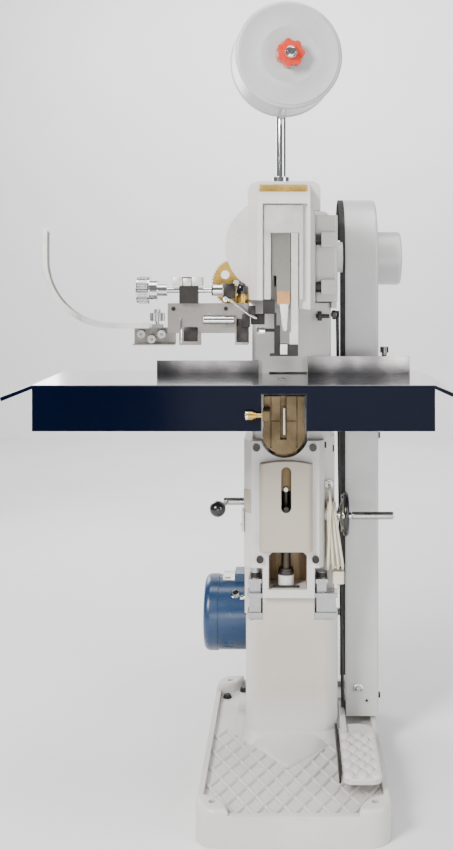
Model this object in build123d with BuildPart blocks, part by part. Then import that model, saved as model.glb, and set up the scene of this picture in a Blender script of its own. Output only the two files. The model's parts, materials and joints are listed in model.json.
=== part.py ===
from build123d import *
import os
from math import cos, radians, sin

# Floor-standing wire stitching machine that closes bags.
# X runs to the operator's right, Y to the back and Z up; the origin is the centre of the base on the floor.

# ---- driving dimensions (mm) ----
BASE_WIDTH = 400
BASE_DEPTH = 670
BASE_CORNER = 45
BASE_WALL = 14
TREAD_Z = 52
RIM_Z = 64
RIM_WIDTH = 12
PAD_RADIUS = 68
PAD_Z = 76
ANCHOR_X = 166
ANCHOR_Y = 301
ANCHOR_RADIUS = 7

PEDESTAL_X = (-113, 104)
PEDESTAL_Y = (0, 132)
PEDESTAL_TOP = 342
NECK_X = (-72, 49)
NECK_TOP = 395

COLUMN_FRONT = -15
COLUMN_BACK = 165
COLUMN_TOP = 760
CHANNEL_X = (-58, 31)
CHANNEL_Y = (-3, 60)
CHANNEL_FLOOR = 415
ARCH_TOP = 507
ARCH_CHAMFER = 14
SHOULDER_Z = 465
SHOULDER_TOP = 760
BOWL_X = -22
BOWL_Z = 778
BOWL_RADIUS = 57

UPPER_X = (-98, 88)
UPPER_Y = (15, 155)
ARM_Z = (1080, 1300)
ARM_Y = (-60, 310)
ARM_RIGHT = 49
FLANGE_X = -48
FLANGE_Z = 1211
FLANGE_RADIUS = 108

SHAFT_Y = 251
SHAFT_Z = 1187
SHAFT_RADIUS = 15
ROCKER_Y = 50
ROCKER_SHAFT_RADIUS = 12
ROCKER_X = (-30, -10)
ROCKER_REACH = 150

HEAD_FRONT = -135
HEAD_BACK = -60
HEAD_TOP = 1355
LUG_HEIGHTS = (1227, 1117)
RECESS_DEPTH = 12
RAM_BACK = -84
RAM_Z = (1110, 1262)
BLADE_TOP = 1081
BLADE_TIP = 1022

MOTOR_Y = 240
MOTOR_Z = 278
MOTOR_RADIUS = 92
MOTOR_SHAFT_RADIUS = 9.5
FLYWHEEL_RADIUS = 128
PULLEY_RADIUS = 45
PULLEY_X = (142, 168)
BELT_X = (150, 160)
BELT_DEPTH = 8

GUARD_X = (128.5, 207)
GUARD_WALL = 2.5
GUARD_BOTTOM = 70
GUARD_RADIUS = 150
GUARD_FOOT_BACK = 318

TABLE_X = (-551, 298)
TABLE_Y = (-231, 80)
TABLE_Z = (817, 914)
TABLE_PLATE = 8
TABLE_WALL = 6
FENCE_Y = (4, 9)

KNEE_X = -18
CLINCHER_X = -21
KNEE_RADIUS = 46
KNEE_Z = (760, 885)
KNEE_BACK_TOP = 866
KNEE_FRONT = -185
THUMB_SCREW_Y = -243
THUMB_SCREW_Z = 852
SCREW_Y = 22
SCREW_RADIUS = 11
CRANK_Z = 582
CRANK_SHAFT_RADIUS = 9
SLEEVE_END = 101
LEVER_Z = 612
WHEEL_RADIUS = 52
GRIP_RADIUS = 9
GRIP_Y = -18
GRIP_Z = 588

PEDAL_X = (102, 186)
PEDAL_Y = (-253, 5)
PEDAL_TOP = 96
PEDAL_PLATE = 12
PEDAL_PIVOT_Y = 125
PEDAL_PIVOT_Z = 94
PEDAL_ROD_Y = 75
TRIP_PIVOT_Y = 50
TRIP_Z = 1050
TRIP_ROD_Y = 94

REEL_Z = 1622
REEL_RADIUS = 117
POST_X = -29
POST_Y = -40
POST_RADIUS = 11
SPINDLE_RADIUS = 9

FEED_Y = -123
FEED_SCREW_Z = 1112
ROLLER_RADIUS = 9
GEAR_X = -133
GEAR_Z = 1127
GEAR_TEETH = 46
GEAR_ROOT = 54

CABLE_RADIUS = 3.2
GLAND_Z = 645
CABLE_X = 85
COIL_X = (74, 101)
COIL_TOP = 614
COIL_BOTTOM = 450
COIL_HALF_WIDTH = 34
COIL_THICKNESS = 18
COIL_FAN = 20
PLUG_X = (92, 119)
PLUG_Z = (421, 449.8)

RUNNING = 0.05

TURN = {"x": (0, 90, 0), "y": (-90, 0, 0), "z": (0, 0, 0)}


def block(x, y, z, mode=Mode.ADD):
    """A box between two corners, each side given as (low, high)."""
    with Locations(((x[0] + x[1]) / 2, (y[0] + y[1]) / 2, (z[0] + z[1]) / 2)):
        Box(x[1] - x[0], y[1] - y[0], z[1] - z[0], mode=mode)


def rod(axis, start, length, radius, mode=Mode.ADD):
    """A cylinder that starts at a point and runs along +X, +Y or +Z."""
    with Locations(Location(start, TURN[axis])):
        Cylinder(radius, length, align=(Align.CENTER, Align.CENTER, Align.MIN), mode=mode)


def hex_head(plane, length, across):
    """A hexagon head standing on a plane."""
    with BuildSketch(plane) as hexagon:
        RegularPolygon(across / 2, 6, major_radius=False)
    extrude(hexagon.sketch.face(), amount=length)


def save(piece, label):
    piece.part.label = label
    export_step(piece.part, f"parts/{label}.step")


os.makedirs("parts", exist_ok=True)

# ---------------------------------------------------------------- base
with BuildPart() as base_casting:
    with BuildSketch():
        RectangleRounded(BASE_WIDTH, BASE_DEPTH, BASE_CORNER)
    extrude(amount=TREAD_Z)
    with BuildSketch(Plane.XY.offset(TREAD_Z)):
        RectangleRounded(BASE_WIDTH, BASE_DEPTH, BASE_CORNER)
        RectangleRounded(
            BASE_WIDTH - 2 * RIM_WIDTH,
            BASE_DEPTH - 2 * RIM_WIDTH,
            BASE_CORNER - RIM_WIDTH,
            mode=Mode.SUBTRACT,
        )
    extrude(amount=RIM_Z - TREAD_Z)
    with BuildSketch(Plane.XY.offset(TREAD_Z)):
        with GridLocations(BASE_WIDTH, BASE_DEPTH, 2, 2):
            Circle(PAD_RADIUS)
        RectangleRounded(BASE_WIDTH, BASE_DEPTH, BASE_CORNER, mode=Mode.INTERSECT)
    extrude(amount=PAD_Z - TREAD_Z)
    fillet(base_casting.edges().group_by(Axis.Z)[-1], 8)
    guard_foot_y = (SHAFT_Y - GUARD_RADIUS - 1, GUARD_FOOT_BACK + 1)
    block((GUARD_X[0] - 4, BASE_WIDTH / 2 + 1), guard_foot_y, (GUARD_BOTTOM, PAD_Z + 1), Mode.SUBTRACT)
    with BuildSketch():
        RectangleRounded(
            BASE_WIDTH - 2 * BASE_WALL, BASE_DEPTH - 2 * BASE_WALL, BASE_CORNER - BASE_WALL
        )
    extrude(amount=TREAD_Z - BASE_WALL, mode=Mode.SUBTRACT)
    with GridLocations(2 * ANCHOR_X, 2 * ANCHOR_Y, 2, 2):
        Cylinder(20, TREAD_Z, align=(Align.CENTER, Align.CENTER, Align.MIN))
    with GridLocations(2 * ANCHOR_X, 2 * ANCHOR_Y, 2, 2):
        Hole(ANCHOR_RADIUS)
save(base_casting, "base_casting")

# ---------------------------------------------------------------- pedestal
PEDESTAL_FLARE = 12
with BuildPart() as pedestal_casting:
    block(PEDESTAL_X, PEDESTAL_Y, (TREAD_Z, PEDESTAL_TOP))
    fillet(pedestal_casting.edges().filter_by(Axis.Z).group_by(Axis.Y)[0], 36)
    fillet(pedestal_casting.edges().group_by(Axis.Z)[-1].sort_by(Axis.Y)[0], 6)
    with BuildSketch(Plane.XY.offset(TREAD_Z)):
        with Locations(
            ((PEDESTAL_X[0] + PEDESTAL_X[1]) / 2, (PEDESTAL_Y[0] + PEDESTAL_Y[1]) / 2)
        ):
            RectangleRounded(
                PEDESTAL_X[1] - PEDESTAL_X[0] + 2 * PEDESTAL_FLARE,
                PEDESTAL_Y[1] - PEDESTAL_Y[0] + 2 * PEDESTAL_FLARE,
                42,
            )
    extrude(amount=28, taper=24)
    block((PEDESTAL_X[1] + 0.2, 130), (60, 160), (TREAD_Z, 90), Mode.SUBTRACT)
    block(NECK_X, (0, 40), (PEDESTAL_TOP - 8, NECK_TOP))
save(pedestal_casting, "pedestal_casting")

# ---------------------------------------------------------------- motor and its stand
with BuildPart() as motor_bracket:
    block((-120, 42), (185, 283), (178, 196))
    for leg_x in (-120, 30):
        block((leg_x, leg_x + 12), (185, 283), (TREAD_Z, 196))
    block((-138, 42), (175, 283), (TREAD_Z, TREAD_Z + 12))
    rod("x", (-160, MOTOR_Y, MOTOR_Z), 220, MOTOR_RADIUS, Mode.SUBTRACT)
save(motor_bracket, "motor_bracket")

MOTOR_X = (-190, 80)
FAN_COVER_END = -226
with BuildPart() as motor_casing:
    rod("x", (MOTOR_X[0], MOTOR_Y, MOTOR_Z), MOTOR_X[1] - MOTOR_X[0], MOTOR_RADIUS)
    fillet(motor_casing.edges().group_by(Axis.X)[-1], 12)
    block((-150, -60), (MOTOR_Y - 30, MOTOR_Y + 30), (MOTOR_Z + 85, MOTOR_Z + 106))
    rod("x", (MOTOR_X[1] - 40, MOTOR_Y, MOTOR_Z), 60, MOTOR_SHAFT_RADIUS + RUNNING, Mode.SUBTRACT)
save(motor_casing, "motor_casing")

with BuildPart() as motor_fan_cover:
    rod("x", (FAN_COVER_END, MOTOR_Y, MOTOR_Z), MOTOR_X[0] - FAN_COVER_END, MOTOR_RADIUS + 2)
    fillet(motor_fan_cover.edges().group_by(Axis.X)[0], 16)
save(motor_fan_cover, "motor_fan_cover")


def grooved_pulley(x, y, z, radius):
    """A pulley on an axis along X, with a groove for the belt."""
    rod("x", (x[0], y, z), x[1] - x[0], radius)
    with Locations(Location(((BELT_X[0] + BELT_X[1]) / 2, y, z), TURN["x"])):
        Cylinder(radius + 5, BELT_X[1] - BELT_X[0] + 1, mode=Mode.SUBTRACT)
        Cylinder(radius - BELT_DEPTH + 0.5, BELT_X[1] - BELT_X[0] + 1)


with BuildPart() as motor_rotor:
    grooved_pulley(PULLEY_X, MOTOR_Y, MOTOR_Z, PULLEY_RADIUS)
    rod("x", (MOTOR_X[1] - 38, MOTOR_Y, MOTOR_Z), 174 - (MOTOR_X[1] - 38), MOTOR_SHAFT_RADIUS)
save(motor_rotor, "motor_rotor")

# ---------------------------------------------------------------- belt drive and its guard
with BuildPart() as flywheel:
    grooved_pulley(PULLEY_X, SHAFT_Y, SHAFT_Z, FLYWHEEL_RADIUS)
    for face_x in (PULLEY_X[0], PULLEY_X[1] - 8):
        with Locations(Location((face_x + 4, SHAFT_Y, SHAFT_Z), TURN["x"])):
            Cylinder(FLYWHEEL_RADIUS - 16, 8, mode=Mode.SUBTRACT)
            Cylinder(30, 8)
    with Locations(Location(((PULLEY_X[0] + PULLEY_X[1]) / 2, SHAFT_Y, SHAFT_Z), TURN["x"])):
        with PolarLocations(72, 5):
            Cylinder(22, 60, mode=Mode.SUBTRACT)
    rod("x", (PULLEY_X[0] - 1, SHAFT_Y, SHAFT_Z), 40, SHAFT_RADIUS, Mode.SUBTRACT)
save(flywheel, "flywheel")

CAM_OFFSET = 12
CAM_RADIUS = 32
with BuildPart() as main_shaft:
    rod("x", (-94, SHAFT_Y, SHAFT_Z), 356, SHAFT_RADIUS)
    rod(
        "x",
        (ROCKER_X[0], SHAFT_Y, SHAFT_Z + CAM_OFFSET),
        ROCKER_X[1] - ROCKER_X[0],
        CAM_RADIUS,
    )
    rod("x", (172, SHAFT_Y, SHAFT_Z), 26, 32)
    rod("x", (214, SHAFT_Y, SHAFT_Z), 40, 46)
save(main_shaft, "main_shaft")

with BuildPart() as v_belt:
    with BuildSketch(Plane.YZ.offset(BELT_X[0])):
        with Locations((SHAFT_Y, SHAFT_Z)):
            Circle(FLYWHEEL_RADIUS + 1)
        with Locations((MOTOR_Y, MOTOR_Z)):
            Circle(PULLEY_RADIUS + 1)
        make_hull()
    extrude(amount=BELT_X[1] - BELT_X[0])
    with BuildSketch(Plane.YZ.offset(BELT_X[0])) as belt_inside:
        with Locations((SHAFT_Y, SHAFT_Z)):
            Circle(FLYWHEEL_RADIUS + 1 - BELT_DEPTH)
        with Locations((MOTOR_Y, MOTOR_Z)):
            Circle(PULLEY_RADIUS + 1 - BELT_DEPTH)
        make_hull()
    extrude(amount=BELT_X[1] - BELT_X[0], mode=Mode.SUBTRACT)
save(v_belt, "v_belt")

with BuildSketch() as guard_outline:
    with BuildLine():
        foot = Polyline(
            (SHAFT_Y - GUARD_RADIUS, SHAFT_Z),
            (SHAFT_Y - GUARD_RADIUS, GUARD_BOTTOM),
            (GUARD_FOOT_BACK, GUARD_BOTTOM),
            (SHAFT_Y + GUARD_RADIUS, SHAFT_Z),
        )
        ThreePointArc(foot @ 1, (SHAFT_Y, SHAFT_Z + GUARD_RADIUS), foot @ 0)
    make_face()

with BuildPart() as belt_guard:
    with BuildSketch(Plane.YZ.offset(GUARD_X[0])):
        add(guard_outline.sketch)
    extrude(amount=GUARD_X[1] - GUARD_X[0])
    fillet(belt_guard.edges().group_by(Axis.X)[-1], 7)
    with BuildSketch(Plane.YZ.offset(GUARD_X[0])):
        add(guard_outline.sketch)
        offset(amount=-GUARD_WALL)
    extrude(amount=GUARD_X[1] - GUARD_X[0] - GUARD_WALL, mode=Mode.SUBTRACT)
    rod("x", (190, SHAFT_Y, SHAFT_Z), 40, 52, Mode.SUBTRACT)
save(belt_guard, "belt_guard")

with BuildPart() as guard_back_plate:
    with BuildSketch(Plane.YZ.offset(GUARD_X[0] - GUARD_WALL)):
        add(guard_outline.sketch)
        with Locations((SHAFT_Y, SHAFT_Z)):
            Circle(30, mode=Mode.SUBTRACT)
        with Locations((MOTOR_Y, MOTOR_Z)):
            Circle(24, mode=Mode.SUBTRACT)
    extrude(amount=GUARD_WALL)
save(guard_back_plate, "guard_back_plate")

HUB_END = 274
HUB_RADIUS = 68.5
with BuildPart() as hub_cover:
    rod("x", (GUARD_X[1], SHAFT_Y, SHAFT_Z), HUB_END - GUARD_X[1], HUB_RADIUS)
    fillet(hub_cover.edges().group_by(Axis.X)[-1], 8)
    rod("x", (GUARD_X[1], SHAFT_Y, SHAFT_Z), HUB_END - GUARD_X[1] - 3, HUB_RADIUS - 3, Mode.SUBTRACT)
save(hub_cover, "hub_cover")

# ---------------------------------------------------------------- lower column and slide housing
BOLT_PLACES = [(-86, 745), (45, 745), (-78, 486), (51, 486)]
with BuildPart() as lower_column:
    with BuildSketch(Plane.XY.offset(PEDESTAL_TOP)):
        with BuildLine():
            Polyline(
                (-116, 40), (98, 40 + 20), (98, 150), (84, COLUMN_BACK), (-116, COLUMN_BACK), close=True
            )
        make_face()
        with Locations((-22, 52)):
            Rectangle(188, 24)
    extrude(amount=COLUMN_TOP - PEDESTAL_TOP)
    with BuildSketch(Plane.XY.offset(SHOULDER_Z)):
        with BuildLine():
            Polyline(
                (-98, COLUMN_FRONT),
                (60, COLUMN_FRONT),
                (72, 4),
                (72, 60),
                (-116, 60),
                (-116, 6),
                close=True,
            )
        make_face()
    extrude(amount=SHOULDER_TOP - SHOULDER_Z)
    block(NECK_X, (COLUMN_FRONT, 60), (NECK_TOP, SHOULDER_Z))
    block(CHANNEL_X, CHANNEL_Y, (CHANNEL_FLOOR, SHOULDER_TOP + 10), Mode.SUBTRACT)
    with BuildSketch(Plane.XZ.offset(-COLUMN_FRONT)):
        with BuildLine():
            Polyline(
                (CHANNEL_X[0], CHANNEL_FLOOR),
                (CHANNEL_X[0], ARCH_TOP - ARCH_CHAMFER),
                (CHANNEL_X[0] + ARCH_CHAMFER, ARCH_TOP),
                (CHANNEL_X[1] - ARCH_CHAMFER, ARCH_TOP),
                (CHANNEL_X[1], ARCH_TOP - ARCH_CHAMFER),
                (CHANNEL_X[1], CHANNEL_FLOOR),
                close=True,
            )
        make_face()
    extrude(amount=-20, mode=Mode.SUBTRACT)
    block((-48, 21), (COLUMN_FRONT, 0), (522, 700), Mode.SUBTRACT)
    rod("y", (BOWL_X, COLUMN_FRONT - 5, BOWL_Z), 65, BOWL_RADIUS, Mode.SUBTRACT)
    rod("x", (25, SCREW_Y, CRANK_Z), SLEEVE_END - 25, 14)
    block(CHANNEL_X, CHANNEL_Y, (CHANNEL_FLOOR, 700), Mode.SUBTRACT)
    rod("x", (20, SCREW_Y, CRANK_Z), 100, CRANK_SHAFT_RADIUS + RUNNING, Mode.SUBTRACT)
    rod("x", (-120, SCREW_Y, LEVER_Z), 20, 6 + RUNNING, Mode.SUBTRACT)
    rod("z", (KNEE_X, SCREW_Y, CHANNEL_FLOOR), 26, 19)
    rod("z", (KNEE_X, SCREW_Y, CHANNEL_FLOOR), 27, SCREW_RADIUS + RUNNING, Mode.SUBTRACT)
    for bolt_x, bolt_z in BOLT_PLACES:
        rod("y", (bolt_x, COLUMN_FRONT - 1, bolt_z), 22, 5.5, Mode.SUBTRACT)
save(lower_column, "lower_column")

COVER_X = (-79, 44)
COVER_Z = (507, 708)
with BuildPart() as slide_cover:
    with BuildSketch(Plane.XZ.offset(-COLUMN_FRONT)):
        with BuildLine():
            sides = Polyline(
                (COVER_X[0], COVER_Z[1]),
                (COVER_X[0], COVER_Z[0]),
                (COVER_X[1], COVER_Z[0]),
                (COVER_X[1], COVER_Z[1]),
            )
            ThreePointArc(sides @ 1, ((COVER_X[0] + COVER_X[1]) / 2, COVER_Z[1] + 8), sides @ 0)
        make_face()
    extrude(amount=20)
    fillet(slide_cover.edges().filter_by(Axis.Z).group_by(Axis.Y)[0], 14)
    with BuildSketch(Plane.XZ.offset(-COLUMN_FRONT)):
        with Locations((-17, 650)):
            SlotOverall(106, 23, rotation=90)
    extrude(amount=20, mode=Mode.SUBTRACT)
save(slide_cover, "slide_cover")

with BuildPart() as clamp_blocks:
    for x0, x1, upper_x1, top in ((-108, -72.5, -72.5, 463), (49.5, 103, 82, 448)):
        block((x0, x1), (0, 39.5), (PEDESTAL_TOP, 356))
        block((x0 + 4, x1 - 4), (4, 39.5), (356, 392))
        block((x0, x1), (-2, 39.5), (392, 402))
        block((x0 + 5, upper_x1 - 5), (6, 39.5), (402, 424))
        block((x0 + 2, upper_x1 - 2), (2, 39.5), (424, 434))
        rod("z", ((x0 + upper_x1) / 2, 20, 434), top - 434, 12)
save(clamp_blocks, "clamp_blocks")

# ---------------------------------------------------------------- upper column, arm and head
with BuildPart() as upper_frame:
    block(UPPER_X, UPPER_Y, (COLUMN_TOP, ARM_Z[0]))
    fillet(upper_frame.edges().filter_by(Axis.Z).group_by(Axis.Y)[0], 10)
    block((UPPER_X[0], ARM_RIGHT), ARM_Y, ARM_Z)
    block(UPPER_X, (105, ARM_Y[1]), ARM_Z)
    fillet(upper_frame.edges().filter_by(Axis.Y).group_by(Axis.Z)[-1], 18)
    fillet(upper_frame.edges().filter_by(Axis.X).group_by(Axis.Y)[-1], 30)
    rod("y", (FLANGE_X, ARM_Y[0], FLANGE_Z), 34, FLANGE_RADIUS)
    block((ARM_RIGHT, 70), (ARM_Y[0] - 1, -25), (1100, 1322), Mode.SUBTRACT)
    block((UPPER_X[0] + 14, ARM_RIGHT - 12), (-46, 296), (1094, 1286), Mode.SUBTRACT)
    block((-44, 4), (-61, -40), (1120, 1235), Mode.SUBTRACT)
    block(CHANNEL_X, (10, CHANNEL_Y[1]), (COLUMN_TOP, 917), Mode.SUBTRACT)
    with Locations(Location((GEAR_X, -14, GEAR_Z), TURN["y"])):
        Cylinder(62, 20, mode=Mode.SUBTRACT)
    block((-150, UPPER_X[0]), (-4, 12), (1112, 1142))
    rod("y", (GEAR_X, -24, GEAR_Z), 22, 7)
    rod("x", (-110, SHAFT_Y, SHAFT_Z), 220, SHAFT_RADIUS + RUNNING, Mode.SUBTRACT)
    rod("x", (-110, ROCKER_Y, SHAFT_Z), 220, ROCKER_SHAFT_RADIUS + RUNNING, Mode.SUBTRACT)
    rod("x", (UPPER_X[1], TRIP_PIVOT_Y, TRIP_Z), 14, 5)
save(upper_frame, "upper_frame")

with BuildPart() as head_casting:
    with BuildSketch(Plane.XY.offset(1070)):
        with BuildLine():
            Polyline(
                (-80, HEAD_FRONT),
                (37, HEAD_FRONT),
                (45, -100),
                (45, HEAD_BACK),
                (-101, HEAD_BACK),
                (-101, -100),
                close=True,
            )
        make_face()
    extrude(amount=222)
    for low_z, reach in ((1290, 40), (ARM_Z[1], -45)):
        with BuildSketch(Plane.XZ.offset(-HEAD_BACK)):
            with BuildLine():
                Polyline(
                    (-101, low_z),
                    (-103, 1335),
                    (-96, 1348),
                    (-80, HEAD_TOP),
                    (45, HEAD_TOP),
                    (57, 1348),
                    (60, 1335),
                    (60, low_z),
                    close=True,
                )
            make_face()
        extrude(amount=reach)
    with BuildSketch(Plane.YZ.offset(-80)):
        with BuildLine():
            Polyline(
                (HEAD_FRONT, 1280),
                (HEAD_FRONT, 1321),
                (-88, HEAD_TOP),
                (-70, HEAD_TOP),
                (-70, 1280),
                close=True,
            )
        make_face()
    extrude(amount=117)
    block((-68, 30), (HEAD_FRONT, HEAD_FRONT + RECESS_DEPTH), (1060, 1303), Mode.SUBTRACT)
    block((-51, 12), (HEAD_FRONT, RAM_BACK + 1), (1060, 1285), Mode.SUBTRACT)
    block((-44, 4), (-90, HEAD_BACK), (1120, 1235), Mode.SUBTRACT)
    block((-102, -50), (HEAD_FRONT, HEAD_BACK), (1060, 1090), Mode.SUBTRACT)
    rod("y", (FLANGE_X, HEAD_BACK, FLANGE_Z), 50, FLANGE_RADIUS + 0.2, Mode.SUBTRACT)
save(head_casting, "head_casting")

STRIP_TILT = 35.9
with BuildPart() as brass_strip:
    strip_plane = Plane(
        origin=(-23, -111.5, 1338),
        x_dir=(1, 0, 0),
        z_dir=(0, -sin(radians(STRIP_TILT)), cos(radians(STRIP_TILT))),
    )
    with BuildSketch(strip_plane.offset(0.3)):
        RectangleRounded(106, 28, 3)
    extrude(amount=1.5)
save(brass_strip, "brass_strip")

with BuildPart() as ram_gib_plate:
    block((-66, 20.5), (-130, -123), (1092, 1300))
    block((-50.5, 12), (-131, -122), (1090, 1239), Mode.SUBTRACT)
save(ram_gib_plate, "ram_gib_plate")

with BuildPart() as guide_bar:
    block((-5.5, 10), (-134, -112), (993, 1238.5))
    block((-9, 10), (-134, -126), (993, 1020))
save(guide_bar, "guide_bar")

with BuildPart() as nose_holder:
    block((-67.5, -42), (-134, -110), (1060, 1090))
    block((-43, -38), (-134, -110), (1034, 1062))
    block((-43, -30), (-134, -110), (971, 1034))
    block((-53, 10), (-134, -104), (967, 971))
    block((-14, 10), (-134, -104), (971, 993))
    block((-43, 10), (-108, -104), (971, 993))
    block((-29.5, -14), (-126, -108), (960, 1000), Mode.SUBTRACT)
save(nose_holder, "nose_holder")

with BuildPart() as forming_block:
    block((-29.5, -14.2), (-134, -126.2), (971, 993))
save(forming_block, "forming_block")

with BuildPart() as bearing_cap:
    block((ARM_RIGHT, 103), (0, 100), (1083, 1285))
    fillet(bearing_cap.edges().filter_by(Axis.Z).group_by(Axis.Y)[0], 8)
    block((UPPER_X[1] + 0.5, 101), (8, 100), (1067, 1090))
    for lug_z in LUG_HEIGHTS:
        block((64, 98), (-26, 6), (lug_z - 17, lug_z + 17))
    rod("x", (UPPER_X[1], ROCKER_Y, SHAFT_Z), 28, 36)
    rod("x", (40, ROCKER_Y, SHAFT_Z), 60, ROCKER_SHAFT_RADIUS + RUNNING, Mode.SUBTRACT)
save(bearing_cap, "bearing_cap")

with BuildPart() as frame_bolts:
    for bolt_x, bolt_z in BOLT_PLACES:
        rod("y", (bolt_x, COLUMN_FRONT - 8, bolt_z), 8, 8.5)
        rod("y", (bolt_x, COLUMN_FRONT - 8, bolt_z), 26, 5)
    for lug_z in LUG_HEIGHTS:
        hex_head(Plane(origin=(51.5, -13, lug_z), z_dir=(1, 0, 0)), 12.5, 21)
save(frame_bolts, "frame_bolts")

# ---------------------------------------------------------------- ram, rocker
with BuildPart() as ram_block:
    block((-49, -7), (-122, RAM_BACK), (1144, RAM_Z[1]))
    block((-38, -7), (-122, RAM_BACK), (RAM_Z[0], 1144))
    block((-34, -7), (-114, RAM_BACK), (SHAFT_Z - 11, SHAFT_Z + 11), Mode.SUBTRACT)
save(ram_block, "ram_block")

with BuildPart() as ram_shoe:
    block((-37, -8), (-121, -96), (BLADE_TOP, RAM_Z[0]))
save(ram_shoe, "ram_shoe")

with BuildPart() as driver_blade:
    with BuildSketch(Plane.XZ.offset(111)):
        with BuildLine():
            Polyline(
                (-31, BLADE_TOP),
                (-11.5, BLADE_TOP),
                (-12.5, 1068),
                (-15.5, BLADE_TIP),
                (-24, BLADE_TIP),
                (-29.5, 1068),
                close=True,
            )
        make_face()
    extrude(amount=12)
save(driver_blade, "driver_blade")

with BuildPart() as rocker_lever:
    rod("x", (-92, ROCKER_Y, SHAFT_Z), 188, ROCKER_SHAFT_RADIUS)
    rod("x", (ROCKER_X[0], ROCKER_Y, SHAFT_Z), ROCKER_X[1] - ROCKER_X[0], 26)
    rod("x", (ROCKER_X[0], ROCKER_Y - ROCKER_REACH, SHAFT_Z), ROCKER_X[1] - ROCKER_X[0], 10)
    block(ROCKER_X, (-100, -40), (SHAFT_Z - 5, SHAFT_Z + 5))
    block(ROCKER_X, (-42, 190), (SHAFT_Z - 11, SHAFT_Z + 11))
    rod("x", (ROCKER_X[0], 190, SHAFT_Z), ROCKER_X[1] - ROCKER_X[0], 14)
save(rocker_lever, "rocker_lever")

# ---------------------------------------------------------------- wire reel and its stand
REEL_YAW = 8.33
reel_axis = Plane(
    origin=(POST_X, POST_Y, REEL_Z),
    x_dir=(cos(radians(REEL_YAW)), sin(radians(REEL_YAW)), 0),
    z_dir=(sin(radians(REEL_YAW)), -cos(radians(REEL_YAW)), 0),
)
REEL_START = 25
REEL_END = 138
with BuildPart() as reel_stand:
    rod("z", (POST_X, POST_Y, HEAD_TOP), REEL_Z + 16 - HEAD_TOP, POST_RADIUS)
    rod("z", (POST_X, POST_Y, HEAD_TOP), 14, 19)
    with BuildSketch(reel_axis):
        Circle(SPINDLE_RADIUS)
    extrude(amount=REEL_END + 34)
    with BuildSketch(reel_axis):
        Circle(15)
    extrude(amount=REEL_START - 1)
save(reel_stand, "reel_stand")

with BuildPart() as reel_drum:
    with BuildSketch(reel_axis.offset(REEL_START)):
        Circle(REEL_RADIUS + 2)
    extrude(amount=6)
    with BuildSketch(reel_axis.offset(REEL_START + 6)):
        Circle(REEL_RADIUS)
    extrude(amount=REEL_END - REEL_START - 6)
    fillet(reel_drum.edges().group_by(Axis.Y)[0], 7)
    with BuildSketch(reel_axis.offset(REEL_START + 6)):
        Circle(REEL_RADIUS - 3)
        Circle(30, mode=Mode.SUBTRACT)
    extrude(amount=REEL_END - REEL_START - 12, mode=Mode.SUBTRACT)
    with BuildSketch(reel_axis.offset(REEL_START - 1)):
        Circle(SPINDLE_RADIUS + RUNNING)
    extrude(amount=REEL_END, mode=Mode.SUBTRACT)
save(reel_drum, "reel_drum")

with BuildPart() as wire_coil:
    with BuildSketch(reel_axis.offset(REEL_START + 10)):
        Circle(96)
        Circle(30, mode=Mode.SUBTRACT)
    extrude(amount=REEL_END - REEL_START - 20)
save(wire_coil, "wire_coil")

KNOB_LOBES = 7
with BuildPart() as star_knob:
    with BuildSketch(reel_axis.offset(REEL_END + 2)):
        Circle(26)
        with PolarLocations(23, KNOB_LOBES):
            Circle(8)
    extrude(amount=20)
    fillet(star_knob.edges().group_by(Axis.Y)[0], 3)
    with BuildSketch(reel_axis.offset(REEL_END + 0.5)):
        Circle(14)
    extrude(amount=25.5)
    with BuildSketch(reel_axis.offset(REEL_END)):
        Circle(SPINDLE_RADIUS + RUNNING)
    extrude(amount=60, mode=Mode.SUBTRACT)
save(star_knob, "star_knob")

# ---------------------------------------------------------------- wire feed unit
with BuildPart() as feed_plate:
    block((-279, -130), (-122, -112), (1017, 1083))
    block((-253, -205), (-126, -112), (991, 1017))
    block((-130, -101), (-122, -72), (991, 1083))
    rod("x", (-200, -131, 1046), 70, 9)
    block((-134, -126), (-134, -118), (1038, 1054))
save(feed_plate, "feed_plate")

ROLLER_PLACES = [(-336, 1015), (-313, 1004), (-291, 1015)]
with BuildPart() as straightener_block:
    block((-354, -262), (-112, -106), (991, 1029))
    block((-354, -262), (-136, -112), (991, 994))
    block((-314, -290), (-128, -106), (1029, 1036))
    rod("z", (-302, -119, 1025), 20, 4 + RUNNING, Mode.SUBTRACT)
    for roller_x, roller_z in ROLLER_PLACES:
        rod("y", (roller_x, -136, roller_z), 24, 3)
save(straightener_block, "straightener_block")

rollers = []
for roller_x, roller_z in ROLLER_PLACES:
    with BuildPart() as roller:
        rod("y", (roller_x, -134, roller_z), 21, ROLLER_RADIUS)
        rod("y", (roller_x, -126, roller_z), 5, ROLLER_RADIUS + 2, Mode.SUBTRACT)
        rod("y", (roller_x, -126, roller_z), 5, ROLLER_RADIUS - 2)
        rod("y", (roller_x, -140, roller_z), 40, 3 + RUNNING, Mode.SUBTRACT)
    rollers.append(roller)
    save(roller, f"straightener_roller_{len(rollers)}")

with BuildPart() as roller_thumb_screw:
    with BuildSketch(Plane.XY.offset(1044)):
        with Locations((-302, -119)):
            Circle(13)
            with PolarLocations(13, 6):
                Circle(3.5)
    extrude(amount=18)
    rod("z", (-302, -119, 1062), 8, 7)
    rod("z", (-302, -119, 1029.5), 16, 4)
save(roller_thumb_screw, "roller_thumb_screw")

with BuildPart() as screw_block:
    block((-252, -211), (-134, -112), (1083, 1122))
    block((-266, -201), (-134, -112), (1122, 1141))
    rod("x", (-280, FEED_Y, FEED_SCREW_Z), 90, 6 + RUNNING, Mode.SUBTRACT)
save(screw_block, "screw_block")

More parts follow.
